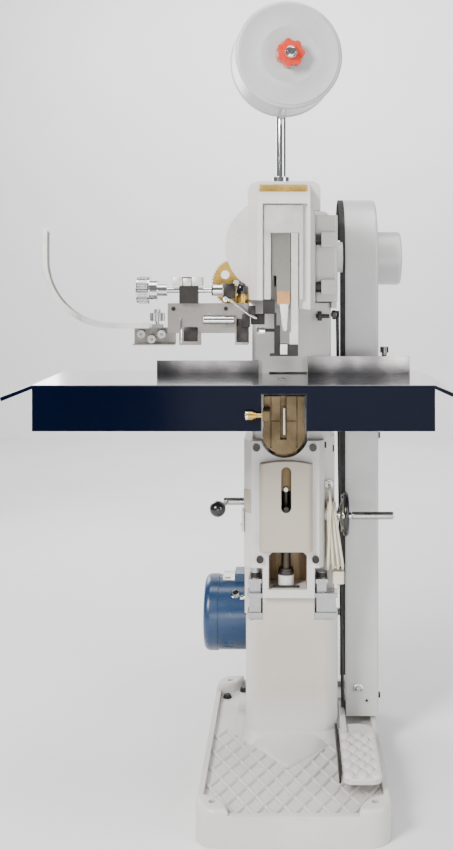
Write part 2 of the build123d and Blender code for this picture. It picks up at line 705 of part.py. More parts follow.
with BuildPart() as adjusting_screw:
    rod("x", (-345, FEED_Y, FEED_SCREW_Z), 28, 29)
    rod("x", (-317, FEED_Y, FEED_SCREW_Z), 17, 21)
    rod("x", (-300, FEED_Y, FEED_SCREW_Z), 21, 13)
    rod("x", (-279, FEED_Y, FEED_SCREW_Z), 104, 6)
    rod("x", (-178, FEED_Y, FEED_SCREW_Z), 21, 13)
save(adjusting_screw, "adjusting_screw")

with BuildPart() as oil_cup:
    rod("z", (-116, -100, 1083), 17, 13.5)
    rod("z", (-116, -100, 1100), 14, 10)
    with Locations((-116, -100, 1114)):
        Sphere(11)
save(oil_cup, "oil_cup")

CHUTE_RADIUS = 145
CHUTE_CENTRE = (-400, 1179.5)
CHUTE_DEPTH = 11
CHUTE_WALL = 2
with BuildPart() as wire_chute:
    for deep, start, width, mode in (
        (CHUTE_DEPTH / 2, 123, 24, Mode.ADD),
        (CHUTE_DEPTH / 2 - CHUTE_WALL, 125, 20, Mode.SUBTRACT),
    ):
        inner = CHUTE_RADIUS - CHUTE_DEPTH / 2 - (1 if mode == Mode.SUBTRACT else 0)
        outer = CHUTE_RADIUS + deep
        with BuildSketch(Plane.XZ.offset(start)):
            with BuildLine():
                inside = CenterArc(CHUTE_CENTRE, inner, 180, 90)
                outside = CenterArc(CHUTE_CENTRE, outer, 180, 90)
                mouth_top = CHUTE_CENTRE[1] + 68
                chute_end = CHUTE_CENTRE[0] + 84
                mouth_inner = (CHUTE_CENTRE[0] - inner, mouth_top)
                mouth_outer = (CHUTE_CENTRE[0] - outer, mouth_top)
                end_inner = (chute_end, CHUTE_CENTRE[1] - inner)
                end_outer = (chute_end, CHUTE_CENTRE[1] - outer)
                Polyline(inside @ 0, mouth_inner, mouth_outer, outside @ 0)
                Polyline(inside @ 1, end_inner, end_outer, outside @ 1)
            make_face()
        extrude(amount=width, mode=mode)
save(wire_chute, "wire_chute")

with BuildPart() as feed_gear:
    with BuildSketch(Plane.XZ.offset(10)):
        with Locations((GEAR_X, GEAR_Z)):
            Circle(GEAR_ROOT)
            with PolarLocations(GEAR_ROOT + 1, GEAR_TEETH):
                Trapezoid(4.6, 4.5, 70, rotation=-90)
            with PolarLocations(32, 5):
                Circle(10, mode=Mode.SUBTRACT)
            Circle(7 + RUNNING, mode=Mode.SUBTRACT)
    extrude(amount=10)
save(feed_gear, "feed_gear")

# ---------------------------------------------------------------- knee with table and clincher
with BuildPart() as clincher_arm:
    with BuildSketch(Plane.XZ.offset(-12)):
        with Locations((CLINCHER_X, KNEE_Z[0] + KNEE_RADIUS)):
            Circle(KNEE_RADIUS)
        with Locations((CLINCHER_X, (KNEE_Z[0] + KNEE_RADIUS + KNEE_Z[1]) / 2)):
            Rectangle(2 * KNEE_RADIUS - 4, KNEE_Z[1] - KNEE_Z[0] - KNEE_RADIUS)
    extrude(amount=12 - KNEE_FRONT)
    block((KNEE_X - 26, KNEE_X + 26), (2, 44), (640, KNEE_BACK_TOP))
    block((CLINCHER_X - 8, CLINCHER_X + 6), (KNEE_FRONT, KNEE_FRONT + 14), (792, KNEE_Z[1]), Mode.SUBTRACT)
    for groove_x in (CLINCHER_X - 28, CLINCHER_X + 28):
        groove = (groove_x - 1.5, groove_x + 1.5)
        block(groove, (KNEE_FRONT, KNEE_FRONT + 6), (774, KNEE_Z[1]), Mode.SUBTRACT)
    block((CLINCHER_X - 28, CLINCHER_X + 28), (KNEE_FRONT, KNEE_FRONT + 3), (831, 834), Mode.SUBTRACT)
    rod("z", (KNEE_X, SCREW_Y, 635), 40, SCREW_RADIUS + RUNNING, Mode.SUBTRACT)
    rod("z", (KNEE_X, SCREW_Y, 670), 175, SCREW_RADIUS + 2, Mode.SUBTRACT)
    block((-65, -50), (THUMB_SCREW_Y - 10, KNEE_FRONT + 1), (THUMB_SCREW_Z - 10, THUMB_SCREW_Z + 10))
    rod("x", (-66, THUMB_SCREW_Y, THUMB_SCREW_Z), 17, 5 + RUNNING, Mode.SUBTRACT)
save(clincher_arm, "clincher_arm")

SLOT_X = (-38, -8)
SLOT_Y = (-128, -98)
with BuildPart() as clincher_post:
    block(SLOT_X, SLOT_Y, (KNEE_Z[1], TABLE_Z[1] + 2))
    block((-26, -19), (SLOT_Y[0] + 6, SLOT_Y[1] - 6), (TABLE_Z[1] - 4, TABLE_Z[1] + 3), Mode.SUBTRACT)
save(clincher_post, "clincher_post")

with BuildPart() as clincher_thumb_screw:
    rod("x", (-101, THUMB_SCREW_Y, THUMB_SCREW_Z), 16, 9.5)
    rod("x", (-85, THUMB_SCREW_Y, THUMB_SCREW_Z), 5, 7)
    rod("x", (-82, THUMB_SCREW_Y, THUMB_SCREW_Z), 25, 5)
save(clincher_thumb_screw, "clincher_thumb_screw")

with BuildPart() as table:
    block(TABLE_X, TABLE_Y, TABLE_Z)
    fillet(table.edges().filter_by(Axis.X).group_by(Axis.Z)[-1], 4)
    block(
        (TABLE_X[0] + TABLE_WALL, TABLE_X[1] - TABLE_WALL),
        (TABLE_Y[0] + TABLE_WALL, TABLE_Y[1] - TABLE_WALL),
        (TABLE_Z[0], TABLE_Z[1] - TABLE_PLATE),
        Mode.SUBTRACT,
    )
    for side, edge_x, reach, drop in ((-1, TABLE_X[0], 68, 26), (1, TABLE_X[1], 40, 17)):
        with BuildSketch(Plane.XZ.offset(-TABLE_Y[1])):
            with BuildLine():
                Polyline(
                    (edge_x - side * 1, TABLE_Z[1]),
                    (edge_x, TABLE_Z[1]),
                    (edge_x + side * reach, TABLE_Z[1] - drop),
                    (edge_x + side * (reach - 3), TABLE_Z[1] - drop - TABLE_PLATE),
                    (edge_x, TABLE_Z[1] - TABLE_PLATE),
                    (edge_x - side * 1, TABLE_Z[1] - TABLE_PLATE),
                    close=True,
                )
            make_face()
        extrude(amount=TABLE_Y[1] - TABLE_Y[0])
    block((-68, 26), (TABLE_Y[0] - 1, TABLE_Y[0] + TABLE_WALL + 1), (TABLE_Z[0] - 1, 895), Mode.SUBTRACT)
    block((-104, 94), (11, TABLE_Y[1] + 1), (TABLE_Z[0] - 1, TABLE_Z[1] + 1), Mode.SUBTRACT)
    block((-62, 26), (-180, 8), (KNEE_Z[1], TABLE_Z[1] - TABLE_PLATE))
    block(SLOT_X, SLOT_Y, (KNEE_Z[1] - 1, TABLE_Z[1] + 1), Mode.SUBTRACT)
save(table, "table")

with BuildPart() as fences:
    for x, top in (((-320, -82), 945), ((33, 272), 955)):
        block(x, FENCE_Y, (TABLE_Z[1], top))
    for foot_x, top in ((-190, 938), (214, 948)):
        block((foot_x - 20, foot_x + 20), (FENCE_Y[1], 42), (TABLE_Z[1], TABLE_Z[1] + 6))
        block((foot_x - 20, foot_x + 20), (FENCE_Y[1], FENCE_Y[1] + 5), (TABLE_Z[1], top))
    rod("z", (214, 26, TABLE_Z[1] + 6), 42, 6)
    rod("z", (214, 26, 962), 14, 10)
save(fences, "fences")

# ---------------------------------------------------------------- height screw, handwheel and clamp lever
BEVEL_FAR = 22
BEVEL_NEAR = 14
BEVEL_GAP = 0.3
with BuildPart() as jack_screw:
    rod("z", (KNEE_X, SCREW_Y, CHANNEL_FLOOR + 1), 790 - CHANNEL_FLOOR, SCREW_RADIUS)
    rod("z", (KNEE_X, SCREW_Y, CHANNEL_FLOOR + 27), 14, 17)
    with Locations((KNEE_X, SCREW_Y, CRANK_Z - BEVEL_FAR)):
        Cone(
            BEVEL_FAR - BEVEL_GAP,
            BEVEL_NEAR - BEVEL_GAP,
            BEVEL_FAR - BEVEL_NEAR,
            align=(Align.CENTER, Align.CENTER, Align.MIN),
        )
save(jack_screw, "jack_screw")

WHEEL_X = (106, 130)
with BuildPart() as handwheel:
    rod("x", (KNEE_X + BEVEL_NEAR, SCREW_Y, CRANK_Z), WHEEL_X[1] - KNEE_X - BEVEL_NEAR, CRANK_SHAFT_RADIUS)
    with Locations(Location((KNEE_X + BEVEL_NEAR, SCREW_Y, CRANK_Z), TURN["x"])):
        Cone(
            BEVEL_NEAR - BEVEL_GAP,
            BEVEL_FAR - BEVEL_GAP,
            BEVEL_FAR - BEVEL_NEAR,
            align=(Align.CENTER, Align.CENTER, Align.MIN),
        )
    rod("x", (103, SCREW_Y, CRANK_Z), WHEEL_X[1] - 103 + 2, 16)
    with BuildSketch(Plane.YZ.offset(WHEEL_X[1] - 14)):
        with Locations((SCREW_Y, CRANK_Z)):
            Circle(WHEEL_RADIUS)
            Circle(WHEEL_RADIUS - 13, mode=Mode.SUBTRACT)
            with PolarLocations(29, 3, start_angle=171):
                Rectangle(32, 13)
        with Locations((GRIP_Y, GRIP_Z)):
            Circle(10)
    extrude(amount=14)
    rod("x", (WHEEL_X[0] + 8, GRIP_Y, GRIP_Z), WHEEL_X[1] + 4 - WHEEL_X[0] - 8, 8)
    rod("x", (WHEEL_X[1], GRIP_Y, GRIP_Z), 96, 4)
save(handwheel, "handwheel")

with BuildPart() as crank_grip:
    rod("x", (WHEEL_X[1] + 5, GRIP_Y, GRIP_Z), 96, GRIP_RADIUS)
    fillet(crank_grip.edges(), 2.5)
    rod("x", (WHEEL_X[1], GRIP_Y, GRIP_Z), 98, 4 + RUNNING, Mode.SUBTRACT)
save(crank_grip, "crank_grip")

lever_bend = Vector(-156, SCREW_Y, LEVER_Z)
ball_centre = Vector(-175, -30, 606)
with BuildPart() as clamp_lever:
    rod("x", (-164, SCREW_Y, LEVER_Z), 47.5, 8.5)
    rod("x", (-142, SCREW_Y, LEVER_Z), 38, 6)
    with BuildSketch(Plane(origin=lever_bend, z_dir=ball_centre - lever_bend)):
        Circle(6)
    extrude(amount=(ball_centre - lever_bend).length)
    with Locations(ball_centre):
        Sphere(18)
save(clamp_lever, "clamp_lever")

# ---------------------------------------------------------------- foot pedal, pull rod and clutch trip
PEDAL_ARM_X = (108, 122)
with BuildPart() as foot_pedal:
    with BuildSketch(Plane.XY.offset(PEDAL_TOP - PEDAL_PLATE)) as pedal_outline:
        with Locations(((PEDAL_X[0] + PEDAL_X[1]) / 2, (PEDAL_Y[0] + PEDAL_Y[1]) / 2)):
            Rectangle(PEDAL_X[1] - PEDAL_X[0], PEDAL_Y[1] - PEDAL_Y[0])
        fillet(pedal_outline.vertices().group_by(Axis.Y)[0], 22)
        fillet(pedal_outline.vertices().group_by(Axis.Y)[-1], 38)
    extrude(amount=PEDAL_PLATE)
    fillet(foot_pedal.edges().group_by(Axis.Z)[-1], 3)
    block(PEDAL_ARM_X, (-60, PEDAL_PIVOT_Y), (PEDAL_PIVOT_Z - 8, PEDAL_PIVOT_Z + 8))
    rod("x", (PEDAL_ARM_X[0], PEDAL_PIVOT_Y, PEDAL_PIVOT_Z), PEDAL_ARM_X[1] - PEDAL_ARM_X[0], 11)
    rod("x", (PEDAL_ARM_X[0] - 1, PEDAL_PIVOT_Y, PEDAL_PIVOT_Z), 20, 5 + RUNNING, Mode.SUBTRACT)
    rod("x", (PEDAL_ARM_X[0] - 1, PEDAL_ROD_Y, PEDAL_PIVOT_Z), 20, 3.5, Mode.SUBTRACT)
save(foot_pedal, "foot_pedal")

with BuildPart() as pedal_bracket:
    for ear_x in (104.5, 122.5):
        block((ear_x, ear_x + 3), (108, 142), (TREAD_Z, 108))
    block((104.5, 125.5), (108, 142), (TREAD_Z, TREAD_Z + 6))
    rod("x", (104.5, PEDAL_PIVOT_Y, PEDAL_PIVOT_Z), 21, 5)
save(pedal_bracket, "pedal_bracket")

rod_bottom = Vector(118, PEDAL_ROD_Y, 116)
rod_top = Vector(106, TRIP_ROD_Y, TRIP_Z)
with BuildPart() as pull_rod:
    with BuildSketch(Plane(origin=rod_bottom, z_dir=rod_top - rod_bottom)):
        Circle(4)
    extrude(amount=(rod_top - rod_bottom).length)
    block((114, 125.4), (PEDAL_ROD_Y - 7, PEDAL_ROD_Y + 7), (106, 120))
    block((122.4, 125.4), (PEDAL_ROD_Y - 7, PEDAL_ROD_Y + 7), (PEDAL_PIVOT_Z - 8, 120))
    rod("x", (110, PEDAL_ROD_Y, PEDAL_PIVOT_Z), 14, 3)
    rod("x", (101.5, TRIP_ROD_Y, TRIP_Z), 9, 8)
    rod("x", (93, TRIP_ROD_Y, TRIP_Z), 12, 3)
save(pull_rod, "pull_rod")

with BuildPart() as trip_lever:
    block((92, 100), (22, 102), (TRIP_Z - 7, TRIP_Z + 7))
    rod("x", (92, TRIP_PIVOT_Y, TRIP_Z), 8, 11)
    rod("x", (91, TRIP_PIVOT_Y, TRIP_Z), 12, 5 + RUNNING, Mode.SUBTRACT)
    rod("x", (91, TRIP_ROD_Y, TRIP_Z), 12, 3.5, Mode.SUBTRACT)
save(trip_lever, "trip_lever")

# ---------------------------------------------------------------- supply cable
CABLE_EXIT_Y = 48
cable_route = [
    (CABLE_X, CABLE_EXIT_Y, GLAND_Z),
    (CABLE_X, 20, GLAND_Z),
    (CABLE_X, -3.5, 630),
    (CABLE_X + 1, -15, 604),
    (CABLE_X + 1, -9, 577),
]
with BuildPart() as cable_gland:
    hex_head(Plane(origin=(CABLE_X, 51, GLAND_Z), z_dir=(0, 1, 0)), 6.4, 20)
    rod("y", (CABLE_X, 43, GLAND_Z), 8, 7)
    rod("y", (CABLE_X, 42, GLAND_Z), 12, CABLE_RADIUS, Mode.SUBTRACT)
save(cable_gland, "cable_gland")

route_corners = [Vector(*p) for p in cable_route]
bend_radii = []
for before, here, after in zip(route_corners, route_corners[1:], route_corners[2:]):
    turn = (here - before).get_angle(after - here)
    run = min((here - before).length, (after - here).length)
    bend_radii.append(0.45 * run * cos(radians(turn / 2)) / sin(radians(turn / 2)))
print("cable bend radii", [round(r, 1) for r in bend_radii])
with BuildPart() as supply_cable:
    with BuildLine() as cable_path:
        FilletPolyline(*cable_route, radius=bend_radii)
    with BuildSketch(Plane(origin=cable_route[0], z_dir=cable_path.line % 0)):
        Circle(CABLE_RADIUS)
    sweep()
save(supply_cable, "supply_cable")

with BuildPart() as cable_coil:
    with BuildSketch(Plane.YZ.offset(COIL_X[0])):
        with Locations((SCREW_Y, (COIL_TOP + COIL_BOTTOM) / 2)):
            SlotOverall(COIL_TOP - COIL_BOTTOM, 2 * COIL_HALF_WIDTH, rotation=90)
            SlotOverall(
                COIL_TOP - COIL_BOTTOM - 2 * COIL_THICKNESS,
                2 * (COIL_HALF_WIDTH - COIL_THICKNESS),
                rotation=90,
                mode=Mode.SUBTRACT,
            )
    extrude(amount=COIL_X[1] + COIL_FAN - COIL_X[0])
    with BuildSketch(Plane.XZ):
        with BuildLine():
            Polyline(
                (COIL_X[1], COIL_TOP + 10),
                (COIL_X[1], 560),
                (COIL_X[1] + COIL_FAN, 470),
                (COIL_X[1] + COIL_FAN + 10, 470),
                (COIL_X[1] + COIL_FAN + 10, COIL_TOP + 10),
                close=True,
            )
        make_face()
    extrude(amount=200, both=True, mode=Mode.SUBTRACT)
save(cable_coil, "cable_coil")

with BuildPart() as supply_plug:
    block(PLUG_X, (SCREW_Y - 16, SCREW_Y + 16), PLUG_Z)
    fillet(supply_plug.edges().filter_by(Axis.Z), 5)
    for pin_y in (SCREW_Y - 8, SCREW_Y + 8):
        block((PLUG_X[0] + 11, PLUG_X[0] + 16), (pin_y - 1, pin_y + 1), (PLUG_Z[0] - 18, PLUG_Z[0]))
save(supply_plug, "supply_plug")
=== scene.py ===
import json
import math
from math import cos, pi, radians, sin

import bmesh
import bpy
from mathutils import Matrix, Vector


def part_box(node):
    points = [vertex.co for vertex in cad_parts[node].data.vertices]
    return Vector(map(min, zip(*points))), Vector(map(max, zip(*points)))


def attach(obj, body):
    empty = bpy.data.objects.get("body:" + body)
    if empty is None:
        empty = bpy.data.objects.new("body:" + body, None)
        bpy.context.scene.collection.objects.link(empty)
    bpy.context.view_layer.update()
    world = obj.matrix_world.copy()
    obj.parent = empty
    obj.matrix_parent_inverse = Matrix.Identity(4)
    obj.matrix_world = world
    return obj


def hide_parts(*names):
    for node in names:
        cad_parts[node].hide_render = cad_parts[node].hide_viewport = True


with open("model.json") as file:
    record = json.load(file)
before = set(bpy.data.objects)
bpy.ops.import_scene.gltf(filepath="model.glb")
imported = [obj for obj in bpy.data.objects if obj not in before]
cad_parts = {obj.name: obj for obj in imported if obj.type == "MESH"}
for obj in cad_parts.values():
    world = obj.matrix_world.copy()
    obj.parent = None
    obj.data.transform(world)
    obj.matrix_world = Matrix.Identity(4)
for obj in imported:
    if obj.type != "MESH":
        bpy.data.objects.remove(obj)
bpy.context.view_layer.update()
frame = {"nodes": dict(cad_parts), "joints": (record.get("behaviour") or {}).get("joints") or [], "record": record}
NODES = frame["nodes"]


# ---------------------------------------------------------------- camera
EYE_Y = -2.335
EYE_Z = 1.156
camera_data = bpy.data.cameras.new("camera")
camera_data.sensor_width = 36
camera_data.lens = 42.35
camera_data.shift_x = -0.079
camera_data.shift_y = -0.182
camera_data.dof.use_dof = False
camera = bpy.data.objects.new("camera", camera_data)
camera.location = (0, EYE_Y, EYE_Z)
camera.rotation_euler = (radians(90), 0, 0)
bpy.context.scene.collection.objects.link(camera)
bpy.context.scene.camera = camera


# ---------------------------------------------------------------- materials
def new_material(name):
    """A material with an empty tree but for its output and shader."""
    material = bpy.data.materials.new(name)
    material.use_nodes = True
    tree = material.node_tree
    tree.nodes.clear()
    output = tree.nodes.new("ShaderNodeOutputMaterial")
    shader = tree.nodes.new("ShaderNodeBsdfPrincipled")
    tree.links.new(shader.outputs["BSDF"], output.inputs["Surface"])
    return material, tree, shader


def noise(tree, scale, detail=4.0, roughness=0.55, stretch=(1, 1, 1)):
    """Noise in the object's own coordinates, in metres."""
    place = tree.nodes.new("ShaderNodeTexCoord")
    mapping = tree.nodes.new("ShaderNodeMapping")
    mapping.inputs["Scale"].default_value = stretch
    texture = tree.nodes.new("ShaderNodeTexNoise")
    texture.inputs["Scale"].default_value = scale
    texture.inputs["Detail"].default_value = detail
    texture.inputs["Roughness"].default_value = roughness
    tree.links.new(place.outputs["Object"], mapping.inputs["Vector"])
    tree.links.new(mapping.outputs["Vector"], texture.inputs["Vector"])
    return texture.outputs["Fac"]


def ramp(tree, value, stops):
    """A colour ramp with stops given as (position, colour)."""
    node = tree.nodes.new("ShaderNodeValToRGB")
    elements = node.color_ramp.elements
    while len(elements) < len(stops):
        elements.new(0.5)
    for element, (position, colour) in zip(elements, stops):
        element.position = position
        element.color = (*colour, 1)
    tree.links.new(value, node.inputs["Fac"])
    return node.outputs["Color"]


def grey(value):
    """A neutral colour."""
    return (value, value, value)


def shade(colour, factor):
    """A colour made lighter or darker, kept within 1."""
    return tuple(min(1, c * factor) for c in colour)


def mix(tree, factor, first, second, kind="MIX"):
    """Mixes two colours, each given as a socket or a plain colour."""
    node = tree.nodes.new("ShaderNodeMix")
    node.data_type = "RGBA"
    node.blend_type = kind
    for socket, value in ((0, factor), (6, first), (7, second)):
        if isinstance(value, bpy.types.NodeSocket):
            tree.links.new(value, node.inputs[socket])
        elif socket == 0:
            node.inputs[0].default_value = value
        else:
            node.inputs[socket].default_value = (*value, 1)
    return node.outputs[2]


def math_node(tree, operation, first, second=0.5):
    """One sum on two values, each given as a socket or a plain number."""
    node = tree.nodes.new("ShaderNodeMath")
    node.operation = operation
    for socket, value in ((0, first), (1, second)):
        if isinstance(value, bpy.types.NodeSocket):
            tree.links.new(value, node.inputs[socket])
        else:
            node.inputs[socket].default_value = value
    return node.outputs[0]


def rounded(tree, shader, radius, bump_height=None, bump_strength=0.2, bump_distance=0.0005):
    """Softens the edges of a piece and adds a fine surface relief."""
    bevel = tree.nodes.new("ShaderNodeBevel")
    bevel.samples = 4
    bevel.inputs["Radius"].default_value = radius
    normal = bevel.outputs["Normal"]
    if bump_height is not None:
        bump = tree.nodes.new("ShaderNodeBump")
        bump.inputs["Strength"].default_value = bump_strength
        bump.inputs["Distance"].default_value = bump_distance
        tree.links.new(bump_height, bump.inputs["Height"])
        tree.links.new(normal, bump.inputs["Normal"])
        normal = bump.outputs["Normal"]
    tree.links.new(normal, shader.inputs["Normal"])
    return bevel.outputs["Normal"]


def edges(tree, bevel_normal):
    """How far the softened normal leaves the flat one: 0 on a face, 1 on an edge."""
    geometry = tree.nodes.new("ShaderNodeNewGeometry")
    dot = tree.nodes.new("ShaderNodeVectorMath")
    dot.operation = "DOT_PRODUCT"
    tree.links.new(bevel_normal, dot.inputs[0])
    tree.links.new(geometry.outputs["Normal"], dot.inputs[1])
    return math_node(tree, "MULTIPLY", math_node(tree, "SUBTRACT", 1.0, dot.outputs["Value"]), 5.0)


PAINT_EDGE = 0.0022
SMALL_EDGE = 0.0008


def roughness_map(tree, shader, value, typical, low, high):
    """Lets the roughness drift between two shares of its typical value, each as (position, share)."""
    stops = [(low[0], grey(typical * low[1])), (high[0], grey(min(1, typical * high[1])))]
    tree.links.new(ramp(tree, value, stops), shader.inputs["Roughness"])


def paint(name, colour, roughness=0.38, coat=0.25, orange_peel=0.12, grime=0.55, chips=True):
    """Enamel over a casting: tone drifts, greasy grime in patches, and a little bare metal on edges."""
    material, tree, shader = new_material(name)
    drift = noise(tree, 5.0, 5)
    base = ramp(tree, drift, [(0.30, shade(colour, 0.90)), (0.72, shade(colour, 1.05))])
    patches = ramp(tree, noise(tree, 14.0, 8, 0.65), [(0.56, grey(0)), (0.74, grey(grime))])
    base = mix(tree, patches, base, shade(colour, 0.72))
    height = noise(tree, 260.0, 3)
    bevel_normal = rounded(tree, shader, PAINT_EDGE, height, orange_peel, 0.0004)
    if chips:
        worn = math_node(tree, "MULTIPLY", edges(tree, bevel_normal), noise(tree, 55.0, 6, 0.7))
        chipped = ramp(tree, worn, [(0.42, grey(0)), (0.60, grey(0.8))])
        base = mix(tree, chipped, base, (0.36, 0.35, 0.33))
    tree.links.new(base, shader.inputs["Base Color"])
    roughness_map(tree, shader, noise(tree, 22.0, 5), roughness, (0.3, 0.8), (0.75, 1.35))
    shader.inputs["Coat Weight"].default_value = coat
    shader.inputs["Coat Roughness"].default_value = 0.18
    return material


def metal(name, colour, roughness=0.24, grain=(1, 1, 1), tarnish=0.35, bump=0.06):
    """Machined or cast metal with tool marks along one direction and faint tarnish."""
    material, tree, shader = new_material(name)
    marks = noise(tree, 90.0, 4, 0.6, grain)
    stains = noise(tree, 18.0, 6, 0.62)
    base = ramp(tree, marks, [(0.25, shade(colour, 0.86)), (0.75, shade(colour, 1.08))])
    stain_mask = ramp(tree, stains, [(0.50, grey(0)), (0.78, grey(tarnish))])
    base = mix(tree, stain_mask, base, shade(colour, 0.55))
    rounded(tree, shader, SMALL_EDGE, marks, bump, 0.0003)
    tree.links.new(base, shader.inputs["Base Color"])
    roughness_map(tree, shader, stains, roughness, (0.25, 0.7), (0.80, 1.7))
    shader.inputs["Metallic"].default_value = 1.0
    return material


def plastic(name, colour, roughness=0.3, speckle=0.08, coat=0.3):
    """Moulded plastic or rubber with a fine moulded skin and handling marks."""
    material, tree, shader = new_material(name)
    drift = noise(tree, 30.0, 5)
    base = ramp(tree, drift, [(0.3, shade(colour, 0.86)), (0.7, shade(colour, 1.10))])
    rounded(tree, shader, SMALL_EDGE, noise(tree, 900.0, 2), speckle, 0.0003)
    tree.links.new(base, shader.inputs["Base Color"])
    roughness_map(tree, shader, noise(tree, 60.0, 4), roughness, (0.3, 0.75), (0.7, 1.4))
    shader.inputs["Coat Weight"].default_value = coat
    return material


def mirror_steel(name, dark, light, roughness=0.16):
    """Polished steel whose broad bands stand for the uneven room it mirrors."""
    material, tree, shader = new_material(name)
    bands = noise(tree, 9.0, 2, 0.45, (1, 1, 0.8))
    scratches = noise(tree, 120.0, 4, 0.6, (1, 1, 8))
    base = ramp(tree, bands, [(0.34, dark), (0.48, shade(dark, 2.2)), (0.66, light)])
    base = mix(tree, 0.25, base, ramp(tree, scratches, [(0.3, grey(0.55)), (0.7, grey(1))]), "MULTIPLY")
    rounded(tree, shader, 0.0006, scratches, 0.04, 0.0002)
    tree.links.new(base, shader.inputs["Base Color"])
    roughness_map(tree, shader, scratches, roughness, (0.3, 1.0), (0.8, 1.8))
    shader.inputs["Metallic"].default_value = 1.0
    return material


MATERIALS = {
    "frame_paint": paint("casting_enamel", (0.63, 0.615, 0.585)),
    "cover_paint": paint("cover_enamel", (0.43, 0.38, 0.305), roughness=0.42, grime=0.3),
    # Pedestal: the beige tone is a painted brownish reflection and shade on the casting.
    "pedestal_painted_reflection": paint("pedestal_enamel_painted_reflection", (0.54, 0.495, 0.43), roughness=0.42, grime=0.3),
    "guard_paint": paint("guard_enamel", (0.59, 0.585, 0.575), roughness=0.36, grime=0.2, orange_peel=0.05),
    "reel_paint": paint(
        "reel_enamel", (0.50, 0.51, 0.51), roughness=0.30, grime=0.3, orange_peel=0.04, chips=False
    ),
    "table_paint": paint(
        "table_enamel", (0.0010, 0.0024, 0.0105), roughness=0.13, coat=0.12, grime=0.5, orange_peel=0.04
    ),
    "motor_paint": paint("motor_enamel", (0.007, 0.038, 0.105), roughness=0.30, coat=0.3, grime=0.4),
    "dark_steel": metal("dark_steel", (0.050, 0.047, 0.045), 0.36, tarnish=0.5),
    "bright_steel": metal("bright_steel", (0.50, 0.49, 0.475), 0.24, (1, 1, 6), tarnish=0.12),
    "satin_steel": metal("satin_steel", (0.66, 0.65, 0.63), 0.42, (6, 1, 1), tarnish=0.08),
    "plate_steel": metal("plate_steel", (0.27, 0.255, 0.235), 0.34, (1, 1, 8), tarnish=0.4),
    "ram_steel": metal("ram_steel", (0.25, 0.245, 0.215), 0.36, (1, 1, 5), tarnish=0.3),
    "screw_steel": metal("screw_steel", (0.085, 0.070, 0.055), 0.34, (1, 1, 9), tarnish=0.4),
    "clamp_steel": metal("clamp_steel", (0.44, 0.435, 0.44), 0.26, (5, 1, 1), tarnish=0.45),
    "fence_steel": mirror_steel("fence_steel", (0.075, 0.072, 0.072), (0.46, 0.44, 0.43)),
    "bronze": metal("cast_bronze", (0.125, 0.092, 0.052), 0.40, tarnish=0.6, bump=0.14),
    "shoe_bronze": metal("shoe_bronze", (0.50, 0.27, 0.115), 0.32, tarnish=0.3),
    "brass": metal("brass", (0.60, 0.38, 0.09), 0.25, tarnish=0.4),
    "iron": metal("bare_iron", (0.17, 0.165, 0.16), 0.48, tarnish=0.5, bump=0.2),
    "wheel_chrome": metal("worn_chrome", (0.78, 0.78, 0.77), 0.10, tarnish=0.12, bump=0.01),
    "black_plastic": plastic("black_plastic", (0.010, 0.010, 0.012), 0.20),
    "red_plastic": plastic("red_plastic", (0.60, 0.045, 0.022), 0.28),
    "belt_rubber": plastic("belt_rubber", (0.02, 0.02, 0.02), 0.75, 0.3, 0.0),
    "cable_cream": plastic("cable_cream", (0.66, 0.61, 0.48), 0.45, 0.05, 0.1),
    # Also the driver blade's painted highlight: its white stands for bright chrome.
    "white_plastic_and_blade_highlight": plastic("white_plastic_and_blade_highlight", (0.78, 0.77, 0.74), 0.35),
    "arch_brown": paint("channel_brown", (0.20, 0.125, 0.055), roughness=0.5, coat=0.1, grime=0.6),
    "arch_panel": paint("channel_panel", (0.31, 0.205, 0.10), roughness=0.45, coat=0.1, grime=0.4),
}


def painted_rim_highlights(material, highlight_colour, centre_x, half_width, foot_z):
    """Paints highlights on a casting: fades it to a paler tone at its foot and towards its two upright edges."""
    tree = material.node_tree
    shader = next(node for node in tree.nodes if node.type == "BSDF_PRINCIPLED")
    painted = shader.inputs["Base Color"].links[0].from_socket
    place_node = tree.nodes.new("ShaderNodeTexCoord")
    split = tree.nodes.new("ShaderNodeSeparateXYZ")
    tree.links.new(place_node.outputs["Object"], split.inputs["Vector"])
    foot = ramp(tree, split.outputs["Z"], [(foot_z, grey(1)), (foot_z + 0.075, grey(0))])
    aside = math_node(tree, "ABSOLUTE", math_node(tree, "SUBTRACT", split.outputs["X"], centre_x), 0)
    side = ramp(tree, aside, [(half_width - 0.028, grey(0)), (half_width - 0.008, grey(0.85))])
    both = mix(tree, 1.0, foot, side, "LIGHTEN")
    faded = mix(tree, both, painted, highlight_colour)
    tree.links.new(faded, shader.inputs["Base Color"])


# Painted highlight colour for the pedestal's foot and upright edges.
RIM_HIGHLIGHT = (0.62, 0.605, 0.575)
PEDESTAL_MIDDLE = -0.0045
PEDESTAL_HALF_WIDTH = 0.1085
PALE_FOOT_TOP = 0.105
painted_rim_highlights(MATERIALS["pedestal_painted_reflection"], RIM_HIGHLIGHT, PEDESTAL_MIDDLE, PEDESTAL_HALF_WIDTH, PALE_FOOT_TOP)


def grazing_top(material, low, high):
    """Gives the level top more reflection than the upright sides."""
    tree = material.node_tree
    shader = next(node for node in tree.nodes if node.type == "BSDF_PRINCIPLED")
    geometry = tree.nodes.new("ShaderNodeNewGeometry")
    split = tree.nodes.new("ShaderNodeSeparateXYZ")
    tree.links.new(geometry.outputs["Normal"], split.inputs["Vector"])
    level = ramp(tree, split.outputs["Z"], [(0.55, grey(low)), (0.80, grey(high))])
    tree.links.new(level, shader.inputs["Specular IOR Level"])
    tree.links.new(level, shader.inputs["Coat Weight"])


grazing_top(MATERIALS["table_paint"], 0.03, 0.85)

